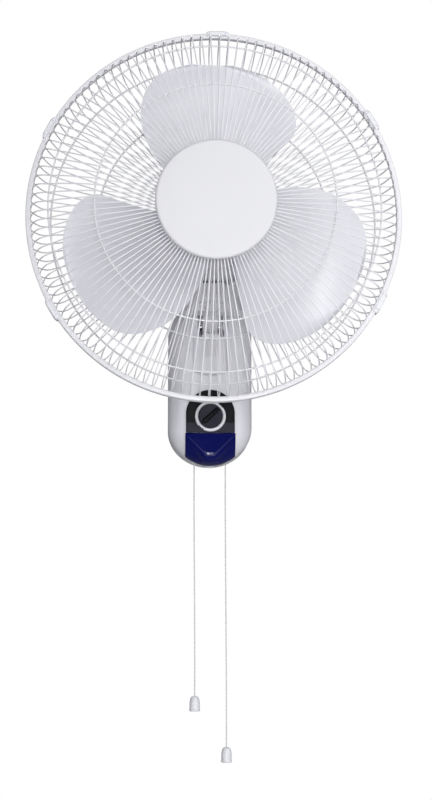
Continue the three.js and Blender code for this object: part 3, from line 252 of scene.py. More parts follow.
# The lens's face: a facet inside a crease shaped like a wide U, a band that rolls back below the
# crease, and a skirt that turns under the column's foot.
CREASE_LOW = -97.3
CREASE_FLAT = 3
CREASE_BEND = 4
CREASE_SLOPE = 1.02
ROLL_RATE = 0.016  # by the square of the way down
ROLL_END_RATE = 0.008  # and by the cube of the way past ROLL_START
ROLL_START = 3.5
SKIRT_LOW = -105.4
SKIRT_RISE = 9
SKIRT_STEP = 1.2
SKIRT_SLOPE = 0.9
FACET_LEAN = 1.2
FACE_REACH = 1.6
TOP_EDGE = 1.6
TOP_EDGE_SLOPE = 1.1
SIDE_ROUND = 3
FOOT_ROUND = 6

# pull cords
CORD_SPACING = 38.6
CORD_OUT = 45
CORD_DIAMETER = 1.6
CORD_LENGTHS = {"left": 294, "right": 355}
CORD_TOP = -97
CORD_DRIFT = [0, 0, 0, 0, 0.1, 0.2, 0.3, 0.45, 0.6, 0.75, 0.9, 1, 1.1, 1.15, 1.2, 1.2, 1.2]
BELL_HEIGHT = 18.5
BUSH_RADIUS = 3.6
BUSH_BORE = 1.3

# head
HEAD_HEIGHT = 160
TILT_OUT = 52
TILT_HEIGHT = 62
TONGUE_WIDTH = 19.4
TONGUE_RADIUS = 13
TILT_BORE_RADIUS = 4.4
PAN_OUT = 118
PAN_PIN_RADIUS = 5
NECK_WIDTH = 32
NECK_BACK = 92
NECK_HEIGHT = 17.5
SADDLE_HALF_WIDTH = 45
SADDLE_FRONT = 126
SADDLE_DROP = 15
BLOCK_DROP = 6
SADDLE_CORNER = 5
MOTOR_RADIUS = 56
MOTOR_FRONT = 178.5
MOTOR_SPLIT = 100
MOTOR_BACK = 50
MOTOR_NOSE_RADIUS = 46
COLLAR_RADIUS = 24
COLLAR_LENGTH = 13
COLLAR_BORE_RADIUS = 11.3
COLLAR_STEP_RADIUS = 15
COLLAR_STEP_DEPTH = 8
NECK_TOP = HEAD_HEIGHT - MOTOR_RADIUS - 2.4
BLOCK_FRONT = PAN_OUT + 20
CHEEK_MIDDLE = 32.5
CHEEK_HALF_WIDTH = 5.5
CHEEK_DEPTH = 14
POST_OFFSET = 24
POST_RADIUS = 2.5
POST_RISE = 3.4
# sizes of the black half ring that paints shade into the gap under the motor
GAP_SHADE_RADIUS = 12.3
GAP_SHADE_BORE_RADIUS = 11.4
GAP_SHADE_HEIGHT = 6
SOCKET_RADIUS = 11
CRANK_X = -8.6
CRANK_OUT = 74
CRANK_TOP = 107
CRANK_HUB_RADIUS = 5
CRANK_SWEEP = 20.2
NOSE_VENTS = 12
NOSE_VENT_REACH = (30, 42)
NOSE_VENT_WIDTH = 2.6
RIM_VENTS = 84  # a ring of short slots round the nose's edge
RIM_VENT_REACH = (43.5, 50.6)
RIM_VENT_WIDTH = 2.2
BACK_VENTS = 6
BACK_VENT_REACH = (18, 34)
BACK_VENT_WIDTH = 3
DOME_START = 0.3  # the share of the motor's rear cover that is straight

# guard
RIM_OUT = 232
HOOP_DIAMETER = 5.6
GUARD_RADIUS = 215
HOOP_RADIUS = GUARD_RADIUS - HOOP_DIAMETER / 2
REAR_HOOP_OUT = -HOOP_DIAMETER - GAP
FRONT_HOOP_THICKNESS = HOOP_DIAMETER + 0.6
REAR_HOOP_THICKNESS = HOOP_DIAMETER - 0.8
HOOP_SQUARENESS = 0.4
WIRES = 120
WIRE_DIAMETER = 1.6
WIRE_THICKNESS = 1.45
CROSS_RING_DIAMETER = 2
BADGE_RADIUS = 67
BADGE_THICKNESS = 6
CLIP_ANGLES = [89, 32, -28, 152, 211]
# a clip's skin over the hoops, by the distance along the rim from its middle
CLIP_SKINS = [
    (-13, 0.7), (-9.2, 1.8), (-9, 1.2), (-8.6, 1.2), (-8.4, 1.9),
    (8.4, 1.9), (8.6, 1.2), (9, 1.2), (9.2, 1.8), (13, 0.7),
]
# a wire's radii and distances in front of the rim, from the middle outwards
FRONT_WIRE = [
    (52, 70), (92, 69), (135, 65), (166, 53.5), (188, 40.2), (199, 34), (205.5, 21), (209.6, 1),
]
REAR_WIRE = [
    (42, -51), (90, -48.2), (136, -45.4), (170, -43.6), (190, -42.1), (200, -38), (206.5, -24),
    (210.8, REAR_HOOP_OUT),
]

# blades
BLADE_RADIUS = 180
BLADE_TURN = -0.9
BLADE_OUT = 230
BLADE_SHEET = 2.4
BLADE_CAMBER = 6
EDGE_THINNING = (0.35, 0.8, 1)
HUB_RADIUS = 33
HUB_DEPTH = 40
SPINNER_RADIUS = 15
SPINNER_LENGTH = 14
SHAFT_BORE_RADIUS = 4.3
# a blade's two edges in degrees round the axis, and its half depth, by share of its radius
BLADE_STATIONS = [
    (0.176, 60, 148, 17),
    (0.42, 52, 141, 22),
    (0.62, 49, 135, 24),
    (0.76, 48.3, 129, 22),
    (0.86, 53, 123, 17.5),
    (0.93, 61, 117.5, 13),
    (0.98, 72, 110.5, 8),
    (1.0, 84, 100, 3),
]


# ---- camera
# Taken from the shift of the guard's rings in the photo: 1.8 m away, below the head, looking up.
CAMERA_PLACE = (-53.4, -1982, -276.6)
CAMERA_PITCH = 7.29
CAMERA_AZIMUTH = -1.81
FOCAL_PIXELS = 1569
PHOTO_HEIGHT = 800
SENSOR = 36  # along the picture's long side


def added(name, data):
    """A new object of the scene."""
    piece = bpy.data.objects.new(name, data)
    scene.collection.objects.link(piece)
    return piece


def make_camera():
    """The photo's camera."""
    data = bpy.data.cameras.new("camera")
    data.sensor_fit = "AUTO"
    data.sensor_width = SENSOR
    data.lens = FOCAL_PIXELS * SENSOR / PHOTO_HEIGHT
    data.clip_end = 50
    camera = added("camera", data)
    camera.location = Vector(CAMERA_PLACE) * MM
    pitch = math.radians(CAMERA_PITCH)
    azimuth = math.radians(CAMERA_AZIMUTH)
    forward = Vector((
        -math.sin(azimuth) * math.cos(pitch),
        math.cos(azimuth) * math.cos(pitch),
        math.sin(pitch),
    ))
    camera.rotation_euler = forward.to_track_quat("-Z", "Y").to_euler()
    scene.camera = camera


make_camera()


# ---- meshes
def at(x, out, z):
    """A point in metres from x, the distance out from the wall, and the height, in millimetres."""
    return Vector((x * MM, -out * MM, z * MM))


class Shape:
    """Points and faces that are gathered before they become one mesh."""

    def __init__(self):
        self.points = []
        self.faces = []

    def add(self, points, faces):
        base = len(self.points)
        self.points.extend(points)
        self.faces.extend([[base + i for i in face] for face in faces])
        return self

    def grid(self, rows, closed_across=False, closed_along=False):
        """A skin over rows of equally many points."""
        across = len(rows[0])
        along = len(rows)
        faces = []
        for k in range(along if closed_along else along - 1):
            for i in range(across if closed_across else across - 1):
                j = (i + 1) % across
                m = (k + 1) % along
                faces.append([k * across + i, k * across + j, m * across + j, m * across + i])
        return self.add([p for row in rows for p in row], faces)

    def loft(self, rings):
        """A closed solid over rings of points, with a flat face at each end."""
        base = len(self.points)
        self.grid(rings, closed_across=True)
        count = len(rings[0])
        last = base + (len(rings) - 1) * count
        self.faces.append([base + i for i in reversed(range(count))])
        self.faces.append([last + i for i in range(count)])
        return self

    def lathe(self, profile, axis, segments=64):
        """A solid turned from a closed profile of radii and places along an axis function."""
        rows = [
            [axis(radius, along, 360 * i / segments) for radius, along in profile]
            for i in range(segments)
        ]
        return self.grid(rows, closed_across=True, closed_along=True)

    def tube(self, path, radius, sides=8):
        """A round bar along a list of points, its ends closed."""
        ways = [(b - a).normalized() for a, b in zip(path, path[1:])]
        ways.append(ways[-1])
        across = ways[0].orthogonal().normalized()
        rings = []
        for k, (point, way) in enumerate(zip(path, ways)):
            mean = (way + ways[k - 1]).normalized() if k else way
            across = (across - mean * across.dot(mean)).normalized()
            up = mean.cross(across)
            rings.append([
                point + radius * MM * (across * math.cos(a) + up * math.sin(a))
                for a in (2 * math.pi * i / sides for i in range(sides))
            ])
        return self.loft(rings)


# An axis function gives the point at a radius, a place along an axis and an angle in degrees.
def about_fan(radius, out, angle):
    """Round the fan's axis; the angle starts at the right and runs anticlockwise."""
    turn = math.radians(angle)
    return at(radius * math.cos(turn), out, HEAD_HEIGHT + radius * math.sin(turn))


def upright_at(x, out):
    """Round a vertical line."""
    def axis(radius, z, angle):
        turn = math.radians(angle)
        return at(x + radius * math.cos(turn), out + radius * math.sin(turn), z)
    return axis


def level_at(x, z):
    """Round a line square to the wall."""
    def axis(radius, out, angle):
        turn = math.radians(angle)
        return at(x + radius * math.cos(turn), out, z + radius * math.sin(turn))
    return axis


def across_at(out, z):
    """Round a line along x."""
    def axis(radius, x, angle):
        turn = math.radians(angle)
        return at(x, out + radius * math.cos(turn), z + radius * math.sin(turn))
    return axis


PAN_AXIS = upright_at(0, PAN_OUT)
KNOB_AXIS = level_at(0, KNOB_HEIGHT)


def mesh_object(name, shape):
    """A new object from a gathered shape, its double points merged and its faces turned out."""
    mesh = bpy.data.meshes.new(name)
    mesh.from_pydata([tuple(p) for p in shape.points], [], shape.faces)
    work = bmesh.new()
    work.from_mesh(mesh)
    bmesh.ops.remove_doubles(work, verts=work.verts, dist=1e-6)
    bmesh.ops.dissolve_degenerate(work, edges=work.edges, dist=1e-7)
    bmesh.ops.recalc_face_normals(work, faces=work.faces)
    work.to_mesh(mesh)
    work.free()
    return added(name, mesh)


def smooth(piece, sharp=35):
    """Shades a piece smooth, apart from edges sharper than an angle in degrees."""
    piece.data.shade_smooth()
    piece.data.set_sharp_from_angle(angle=math.radians(sharp))
    return piece


def applied(piece):
    """Makes the result of a piece's modifiers its mesh."""
    evaluated = piece.evaluated_get(bpy.context.evaluated_depsgraph_get())
    mesh = bpy.data.meshes.new_from_object(evaluated)
    old = piece.data
    piece.modifiers.clear()
    piece.data = mesh
    bpy.data.meshes.remove(old)
    return piece


def drop(*pieces):
    """Removes tools that have done their work."""
    for piece in pieces:
        mesh = piece.data
        bpy.data.objects.remove(piece)
        bpy.data.meshes.remove(mesh)


def combine(piece, tools, operation):
    """Joins a piece with others, cuts them from it or keeps what they share, by exact booleans."""
    for tool in tools:
        step = piece.modifiers.new("step", "BOOLEAN")
        step.operation = operation
        step.object = tool
        step.solver = "EXACT"
    applied(piece)
    drop(*tools)
    return piece


def cut(piece, *tools):
    return combine(piece, tools, "DIFFERENCE")


def join(piece, *tools):
    return combine(piece, tools, "UNION")


def share(piece, *tools):
    return combine(piece, tools, "INTERSECT")


def moulded(piece, cell, rounds=6):
    """Gives a solid the even skin and soft edges of a moulding, from cells of a given size."""
    skin = piece.modifiers.new("skin", "REMESH")
    skin.mode = "VOXEL"
    skin.voxel_size = cell * MM
    soften = piece.modifiers.new("soften", "SMOOTH")
    soften.factor = 0.5
    soften.iterations = rounds
    return applied(piece)


def block(name, xs, outs, zs):
    """A plain box as a tool for cuts and joins."""
    rings = [
        [at(xs[0], out, zs[0]), at(xs[1], out, zs[0]), at(xs[1], out, zs[1]), at(xs[0], out, zs[1])]
        for out in outs
    ]
    return mesh_object(name, Shape().loft(rings))


def around(middle, half):
    """The two ends of a span about its middle."""
    return middle - half, middle + half


def pushed_out(name, outline, start, end):
    """A flat outline in x and z, pushed out from the wall."""
    rings = [[at(x, out, z) for x, z in outline] for out in (start, end)]
    return mesh_object(name, Shape().loft(rings))


def bar(name, axis, radius, start, end, segments=48):
    """A plain round bar as a tool for cuts and joins."""
    return mesh_object(name, Shape().lathe(
        [(0, start), (radius, start), (radius, end), (0, end)], axis, segments))


def turned(name, profile, axis, segments, sharp=40):
    """A finished piece that is one turned solid."""
    return smooth(mesh_object(name, Shape().lathe(profile, axis, segments)), sharp)


def arc(cx, cy, rx, ry, start, end, steps):
    """Points of an ellipse's arc, angles in degrees."""
    angles = [math.radians(start + (end - start) * i / steps) for i in range(steps + 1)]
    return [(cx + rx * math.cos(a), cy + ry * math.sin(a)) for a in angles]


def curve(a, b, c, steps=8):
    """Points of a quadratic curve from a to c, without a itself."""
    points = []
    for i in range(1, steps + 1):
        t = i / steps
        points.append(tuple(
            (1 - t) ** 2 * p + 2 * t * (1 - t) * q + t * t * r for p, q, r in zip(a, b, c)))
    return points


def smoothed(points, steps=6):
    """A smooth line through points of any dimension, by Catmull-Rom curves."""
    ends = [points[0]] + list(points) + [points[-1]]
    line = []
    for k in range(1, len(ends) - 2):
        before, start, end, after = (ends[k + i] for i in (-1, 0, 1, 2))
        for i in range(steps):
            t = i / steps
            line.append(tuple(
                0.5 * (2 * q + (r - p) * t + (2 * p - 5 * q + 4 * r - s) * t * t
                       + (3 * q - p - 3 * r + s) * t ** 3)
                for p, q, r, s in zip(before, start, end, after)))
    line.append(tuple(points[-1]))
    return line


# ---- finishes
GRAIN_HEIGHT = 0.4


def finish(name, colour, change, rough, grain=900, depth=0.02, mottle=14, spread=0.05, **settings):
    """A moulded or coated finish: the colour drifts between a darker and a lighter tone, the gloss
    varies and a fine grain lifts the surface. Settings go onto the shader's sockets."""
    material = bpy.data.materials.new(name)
    material.use_nodes = True
    nodes = material.node_tree.nodes
    link = material.node_tree.links.new
    shader = nodes["Principled BSDF"]
    for socket, value in settings.items():
        shader.inputs[socket.replace("_", " ")].default_value = value
    where = nodes.new("ShaderNodeTexCoord").outputs["Object"]

    def noise(scale, detail):
        texture = nodes.new("ShaderNodeTexNoise")
        texture.inputs["Scale"].default_value = scale
        texture.inputs["Detail"].default_value = detail
        link(where, texture.inputs["Vector"])
        return texture.outputs["Fac"]

    ramp = nodes.new("ShaderNodeValToRGB")
    stops = zip(ramp.color_ramp.elements, (0.3, 0.7), (1 - change, 1 + change))
    for stop, position, scale in stops:
        stop.position = position
        stop.color = (*[min(1, c * scale) for c in colour], 1)
    link(noise(mottle, 4), ramp.inputs["Fac"])
    link(ramp.outputs["Color"], shader.inputs["Base Color"])

    gloss = nodes.new("ShaderNodeMapRange")
    gloss.inputs["To Min"].default_value = max(0.02, rough - spread)
    gloss.inputs["To Max"].default_value = rough + spread
    link(noise(5 * mottle, 6), gloss.inputs["Value"])
    link(gloss.outputs["Result"], shader.inputs["Roughness"])

    bump = nodes.new("ShaderNodeBump")
    bump.inputs["Strength"].default_value = depth
    bump.inputs["Distance"].default_value = GRAIN_HEIGHT * MM
    link(noise(grain, 3), bump.inputs["Height"])
    link(bump.outputs["Normal"], shader.inputs["Normal"])
    return material


FINISHES = {
    "white_plastic": finish(
        "white plastic", (0.76, 0.76, 0.80), 0.02, rough=0.34, grain=1400, depth=0.05),
    "guard_coating": finish(
        "guard coating", (0.75, 0.75, 0.775), 0.02, rough=0.32, grain=700, depth=0.08, spread=0.08),
    "clip_plastic": finish(
        "clip plastic", (0.76, 0.76, 0.80), 0.02, rough=0.36, grain=1200, depth=0.05),
    "badge_plastic": finish(
        "badge plastic", (0.69, 0.69, 0.71), 0.01, rough=0.42, grain=1600, depth=0.03),
    "blade_plastic": finish(
        "blade plastic", (0.73, 0.73, 0.77), 0.02, rough=0.3, grain=500, depth=0.03, mottle=9),
    "black_plastic": finish(
        "black plastic", (0.006, 0.007, 0.009), 0.2, rough=0.25, Specular_IOR_Level=0.05),
    "blue_plastic": finish(
        "blue plastic", (0.0003, 0.0025, 0.08), 0.15, rough=0.09, grain=300, depth=0.005,
        spread=0.02, Specular_IOR_Level=0.13),
    "knob_plastic": finish(
        "knob plastic", (0.021, 0.021, 0.034), 0.12, rough=0.42, grain=1500, depth=0.12,
        Specular_IOR_Level=0.12),
    "steel": finish(
        "zinc plated steel", (0.52, 0.52, 0.54), 0.08, rough=0.35, grain=1100, depth=0.1,
        Metallic=1.0),
    "core_steel": finish(
        "core plates", (0.13, 0.13, 0.14), 0.15, rough=0.55, grain=1800, depth=0.3, Metallic=0.8),
    "switch_plastic": finish(
        "switch plastic", (0.035, 0.035, 0.04), 0.15, rough=0.5, grain=1300, depth=0.1),
    "cord": finish(
        "braided cord", (0.62, 0.62, 0.62), 0.12, rough=0.75, grain=2600, depth=0.5, mottle=700),
}


def paint(piece, slot):
    """Gives a piece its slot's finish and no other."""
    piece.data.materials.clear()
    piece.data.materials.append(FINISHES[slot])


def place(piece, body, slot, *nodes):
    """Dresses a finished piece: its finish, the body that it moves with and what it stands for."""
    paint(piece, slot)
    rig.slot(piece, slot)
    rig.ride(piece, body)
    if nodes:
        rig.replaces(piece, *nodes)
    return piece


for entry in record["subparts"]:
    paint(frame["nodes"][entry["node"]], entry["material_slot"])


# ---- pull cords and bells
STRANDS = 3
STRAND_TURN = 5  # along the cord for one full twist
STRAND_SIDES = 12
CORD_STEP = 0.7


def cord_route(side, length):
    """The same points as the solid model has."""
    steps = len(CORD_DRIFT) - 1
    return [
        (side * CORD_SPACING / 2 + drift, CORD_OUT, CORD_TOP - length * i / steps)
        for i, drift in enumerate(CORD_DRIFT)
    ]


def make_cord(name, side, length):
    """The cord's piece, lobed by its strands, and the points that it follows."""
    steps = int(length / CORD_STEP / (len(CORD_DRIFT) - 1))
    line = smoothed(cord_route(side, length), steps)
    rings = []
    for x, out, z in line:
        twist = 2 * math.pi * z / STRAND_TURN
        ring = []
        for i in range(STRAND_SIDES):
            angle = 2 * math.pi * i / STRAND_SIDES
            lobe = 0.88 + 0.12 * math.cos(STRANDS * angle + twist)
            radius = CORD_DIAMETER / 2 * lobe
            ring.append(at(x + radius * math.cos(angle), out + radius * math.sin(angle), z))
        rings.append(ring)
    piece = smooth(mesh_object("cord_" + name, Shape().loft(rings)), sharp=60)
    return piece, [at(*p) for p in cord_route(side, length)]


def make_bell(name, side, length):
    """A hollow bell with a waist above its rolled foot, hung at its cord's end."""
    x, out, z = cord_route(side, length)[-1]
    top = z - GAP
    low = top - BELL_HEIGHT
    outside = smoothed([
        (1.4, top), (2.2, top - 0.2), (3.6, top - 0.9), (4.8, top - 2.2), (5.7, top - 4.6),
        (6.2, top - 8), (6.35, low + 3.4), (6.7, low + 2.2), (6.7, low + 1.2), (6.1, low + 0.4),
    ], 4)
    inside = [(5.4, low), (4.8, low + 0.6), (4.6, low + 5), (0.01, low + 6.5)]
    profile = [(0.01, top)] + outside + inside
    return turned("bell_" + name, profile, upright_at(x, out), 48, sharp=50)


for cord_name, cord_length in CORD_LENGTHS.items():
    cord_side = -1 if cord_name == "left" else 1
    cord_body = "pull_" + cord_name
    cord_piece, cord_path = make_cord(cord_name, cord_side, cord_length)
    place(cord_piece, cord_body, "cord", "pull_cord_" + cord_name)
    bell = make_bell(cord_name, cord_side, cord_length)
    place(bell, cord_body, "white_plastic", "pull_bell_" + cord_name)
    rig.cord(cord_piece, exit=cord_path[0], length=cord_length * MM, diameter=CORD_DIAMETER * MM,
            far_end="fitting", stiffness="limp", lay="hanging", path=cord_path, with_pieces=[bell])


# ---- guard
def make_wires(name, stations):
    """One half's wires, each bent through the same radii and distances from the rim."""
    shape = Shape()
    line = smoothed(stations, 5)
    for i in range(WIRES):
        angle = 360 * (i + 0.5) / WIRES
        path = [about_fan(radius, RIM_OUT + out, angle) for radius, out in line]
        shape.tube(path, WIRE_THICKNESS / 2, 6)
    return smooth(mesh_object(name, shape), sharp=60)


def make_ring(name, radius, out, thickness, squareness=1, sides=16, segments=240):
    """A hoop about the fan's axis; squareness under 1 flattens the four sides of its section."""
    section = []
    for i in range(sides):
        turn = 2 * math.pi * (i + 0.5) / sides
        across, along = math.cos(turn), math.sin(turn)
        section.append((
            radius + thickness / 2 * math.copysign(abs(across) ** squareness, across),
            out + thickness / 2 * math.copysign(abs(along) ** squareness, along),
        ))
    return turned(name, section, about_fan, segments, sharp=60)


def make_guard():
    """Both halves: wires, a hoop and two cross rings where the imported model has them."""
    for half, stations, hoop_out, thickness in (
        ("front", FRONT_WIRE, 0, FRONT_HOOP_THICKNESS),
        ("rear", REAR_WIRE, REAR_HOOP_OUT, REAR_HOOP_THICKNESS),
    ):
        place(make_wires(half + "_wires", stations), "head", "guard_coating", half + "_guard")
        hoop = make_ring(half + "_hoop", GUARD_RADIUS - thickness / 2, RIM_OUT + hoop_out,
                         thickness, HOOP_SQUARENESS)
        place(hoop, "head", "guard_coating", half + "_guard")
        for ring in ("inner", "outer"):
            low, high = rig.box(half + "_ring_" + ring)
            middle = -(low.y + high.y) / 2 / MM
            reach = (high.x - low.x) / 2 / MM - CROSS_RING_DIAMETER / 2
            piece = make_ring(half + "_band_" + ring, reach, middle, CROSS_RING_DIAMETER, sides=10)
            place(piece, "head", "guard_coating", half + "_ring_" + ring)


make_guard()


def make_badge():
    """The plain disc over the guard's middle, with a rounded edge and a slight crown."""
    back = RIM_OUT + FRONT_WIRE[0][1] + WIRE_DIAMETER / 2 + GAP
    face = back + BADGE_THICKNESS
    profile = (
        [(0.01, back), (BADGE_RADIUS - 1.2, back)]
        + arc(BADGE_RADIUS - 1.2, back + 1.2, 1.2, 1.2, -90, 0, 4)
        + arc(BADGE_RADIUS - 3, face - 3, 3, 2.6, 0, 90, 8)
        + [(BADGE_RADIUS * 0.7, face - 0.25), (BADGE_RADIUS * 0.35, face - 0.05), (0.01, face)]
    )
    return turned("badge_plate", profile, about_fan, 128, sharp=50)


place(make_badge(), "head", "badge_plastic", "badge")


# ---- rim clips
def make_clip(name, angle):
    """A snap clip: a channel over both hoops, with a raised middle between two sloped ends."""
    half = HOOP_DIAMETER / 2 + 0.45
    front = RIM_OUT + half
    back = RIM_OUT + REAR_HOOP_OUT - half
    outer = HOOP_RADIUS + half
    inner = HOOP_RADIUS - 0.2
    rings = []
    for along, skin in CLIP_SKINS:
        turn = angle + math.degrees(along / HOOP_RADIUS)
        top, low, high = outer + skin, back - skin, front + skin
        section = [
            (inner, low), (top - 1, low), (top, low + 1), (top, high - 1), (top - 1, high),
            (inner, high), (inner, front), (outer - 0.6, front), (outer, front - 0.6),
            (outer, back + 0.6), (outer - 0.6, back), (inner, back),
        ]
        rings.append([about_fan(radius, out, turn) for radius, out in section])
    return smooth(mesh_object(name, Shape().loft(rings)), sharp=30)


for clip_index, clip_angle in enumerate(CLIP_ANGLES, 1):
    place(make_clip("clip_%d" % clip_index, clip_angle), "head", "clip_plastic",
          "rim_clip_%d" % clip_index)


# ---- blades
def blade_rows(turn, across=20, along=4):
    """Rows of points of one blade's middle surface, from its root to its tip."""
    rows = []
    for part, lead, trail, pitch in smoothed(BLADE_STATIONS, along):
        row = []
        for i in range(across + 1):
            chord = 2 * i / across - 1
            angle = lead + (trail - lead) * i / across + turn + BLADE_TURN
            out = BLADE_OUT + pitch * chord - BLADE_CAMBER * part * (1 - chord * chord)
            row.append((part * BLADE_RADIUS, out, angle))
        rows.append(row)
    return rows


def make_blades():
    """Three cupped paddles, thinner towards their edges."""
    shape = Shape()
    half = BLADE_SHEET / 2
    for turn in (0, 120, 240):
        rings = []
        for row in blade_rows(turn):
            front, back = [], []
            for i, (radius, out, angle) in enumerate(row):
                skin = half * EDGE_THINNING[min(i, len(row) - 1 - i, 2)]
                front.append(about_fan(radius, out + skin, angle))
                back.append(about_fan(radius, out - skin, angle))
            rings.append(front + back[::-1])
        shape.loft(rings)
    return smooth(mesh_object("paddle_blades", shape), sharp=40)


def make_blade_hub():
    """The cup that the paddles stand on, with its sleeve round the shaft."""
    back = BLADE_OUT - HUB_DEPTH / 2
    front = BLADE_OUT + HUB_DEPTH / 2
    profile = (
        [(SHAFT_BORE_RADIUS, back + 6), (11, back + 6), (13, front - 3),
         (HUB_RADIUS - SHEET, front - 3), (HUB_RADIUS - SHEET, back), (HUB_RADIUS, back)]
        + arc(HUB_RADIUS - 4, front - 4, 4, 4, 0, 90, 8)
        + [(SHAFT_BORE_RADIUS, front)]
    )
    return turned("blade_hub", profile, about_fan, 96)


place(make_blades(), "rotor", "blade_plastic", "fan_blades")
place(make_blade_hub(), "rotor", "blade_plastic", "fan_blades")


def make_spinner():
    """The rounded nut in front of the hub."""
    back = BLADE_OUT + HUB_DEPTH / 2 + GAP
    front = back + SPINNER_LENGTH
    profile = (
        [(SHAFT_BORE_RADIUS, back), (SPINNER_RADIUS, back), (SPINNER_RADIUS - 1, front - 5)]
        + arc(SPINNER_RADIUS - 6, front - 5, 5, 5, 0, 90, 8)
        + [(0.01, front), (0.01, front - 3), (SHAFT_BORE_RADIUS, front - 3)]
    )
    return turned("spinner", profile, about_fan, 64)


place(make_spinner(), "rotor", "white_plastic", "blade_nut")


# ---- motor housing
def radial_slots(name, count, span, width, outs):
    """Tools for slots that are long from the fan's axis outwards."""
    shape = Shape()
    for i in range(count):
        turn = math.radians(360 * i / count)
        along = Vector((math.cos(turn), 0, math.sin(turn)))
        side = Vector((-math.sin(turn), 0, math.cos(turn)))
        rings = []
        for out in outs:
            middle = at(0, out, HEAD_HEIGHT)
            rings.append([
                middle + (along * reach + side * half * width / 2) * MM
                for reach, half in ((span[0], -1), (span[1], -1), (span[1], 1), (span[0], 1))
            ])
        shape.loft(rings)
    return mesh_object(name, shape)


def make_motor_front():
    """The nose: a rounded drum with a collar, vents and the room for the pan socket."""
    split = MOTOR_SPLIT + GAP / 2
    wall = MOTOR_RADIUS - SHEET
    profile = (
        [(wall, split), (MOTOR_RADIUS - 0.6, split), (MOTOR_RADIUS, split + 0.6)]
        + [(MOTOR_RADIUS, MOTOR_FRONT - 17)]
        + smoothed([(MOTOR_RADIUS, MOTOR_FRONT - 16), (MOTOR_RADIUS - 0.9, MOTOR_FRONT - 10),
                    (MOTOR_RADIUS - 3.4, MOTOR_FRONT - 5), (MOTOR_RADIUS - 6.4, MOTOR_FRONT - 1.6),
                    (MOTOR_NOSE_RADIUS, MOTOR_FRONT)], 5)
        + [(COLLAR_RADIUS + 1, MOTOR_FRONT), (COLLAR_RADIUS, MOTOR_FRONT + 1)]
        + [(COLLAR_RADIUS, MOTOR_FRONT + COLLAR_LENGTH - 0.6),
           (COLLAR_RADIUS - 0.6, MOTOR_FRONT + COLLAR_LENGTH),
           (COLLAR_BORE_RADIUS, MOTOR_FRONT + COLLAR_LENGTH),
           (COLLAR_BORE_RADIUS, MOTOR_FRONT - COLLAR_STEP_DEPTH),
           (COLLAR_STEP_RADIUS, MOTOR_FRONT - COLLAR_STEP_DEPTH),
           (COLLAR_STEP_RADIUS, MOTOR_FRONT - SHEET),
           (MOTOR_NOSE_RADIUS - 2, MOTOR_FRONT - SHEET), (wall, MOTOR_FRONT - 16)]
    )
    shell = mesh_object("motor_nose", Shape().lathe(profile, about_fan, 128))
    socket = bar("socket_hole", PAN_AXIS, SOCKET_RADIUS + GAP,
                 HEAD_HEIGHT - 66, HEAD_HEIGHT - 30)
    vents = radial_slots("vents", NOSE_VENTS, NOSE_VENT_REACH, NOSE_VENT_WIDTH,
                         (MOTOR_FRONT - 5, MOTOR_FRONT + 1))
    grille = radial_slots("grille", RIM_VENTS, RIM_VENT_REACH, RIM_VENT_WIDTH,
                          (MOTOR_FRONT - 14, MOTOR_FRONT + 1))
    return smooth(cut(shell, socket, vents, grille), sharp=32)


def make_motor_rear():
    """The domed back, open below for the crank."""
    split = MOTOR_SPLIT - GAP / 2
    depth = MOTOR_SPLIT - MOTOR_BACK

    def dome(radius, length, steps=20):
        angles = [math.pi / 2 * i / steps for i in range(steps + 1)]
        shares = [DOME_START + (1 - DOME_START) * math.sin(a) for a in angles]
        return [(max(0.01, radius * math.cos(a)), split - length * depth_share)
                for a, depth_share in zip(angles, shares)]

    outside = [(MOTOR_RADIUS - 0.6, split), (MOTOR_RADIUS, split - 0.6)] + dome(MOTOR_RADIUS, depth)
    inside = dome(MOTOR_RADIUS - SHEET, depth - SHEET)[::-1] + [(MOTOR_RADIUS - SHEET, split)]
    shell = mesh_object("motor_dome", Shape().lathe(outside + inside, about_fan, 128))
    crank_axis = upright_at(CRANK_X, CRANK_OUT)
    hub_hole = bar("hub_hole", crank_axis, CRANK_HUB_RADIUS + GAP, 90, 123)
    swept_room = bar("swept_room", crank_axis, CRANK_SWEEP, 90, CRANK_TOP + 0.8)
    vents = radial_slots("vents", BACK_VENTS, BACK_VENT_REACH, BACK_VENT_WIDTH,
                         (MOTOR_BACK - 5, MOTOR_BACK + 26))
    return smooth(cut(shell, hub_hole, swept_room, vents), sharp=32)


place(make_motor_front(), "head", "white_plastic", "motor_front_cover")
place(make_motor_rear(), "head", "white_plastic", "motor_rear_cover")


# ---- neck
def spread_across(name, outline, half_width):
    """An outline in (out, z), spread across x about the middle."""
    rings = [[at(x, out, z) for out, z in outline] for x in (-half_width, half_width)]
    return mesh_object(name, Shape().loft(rings))


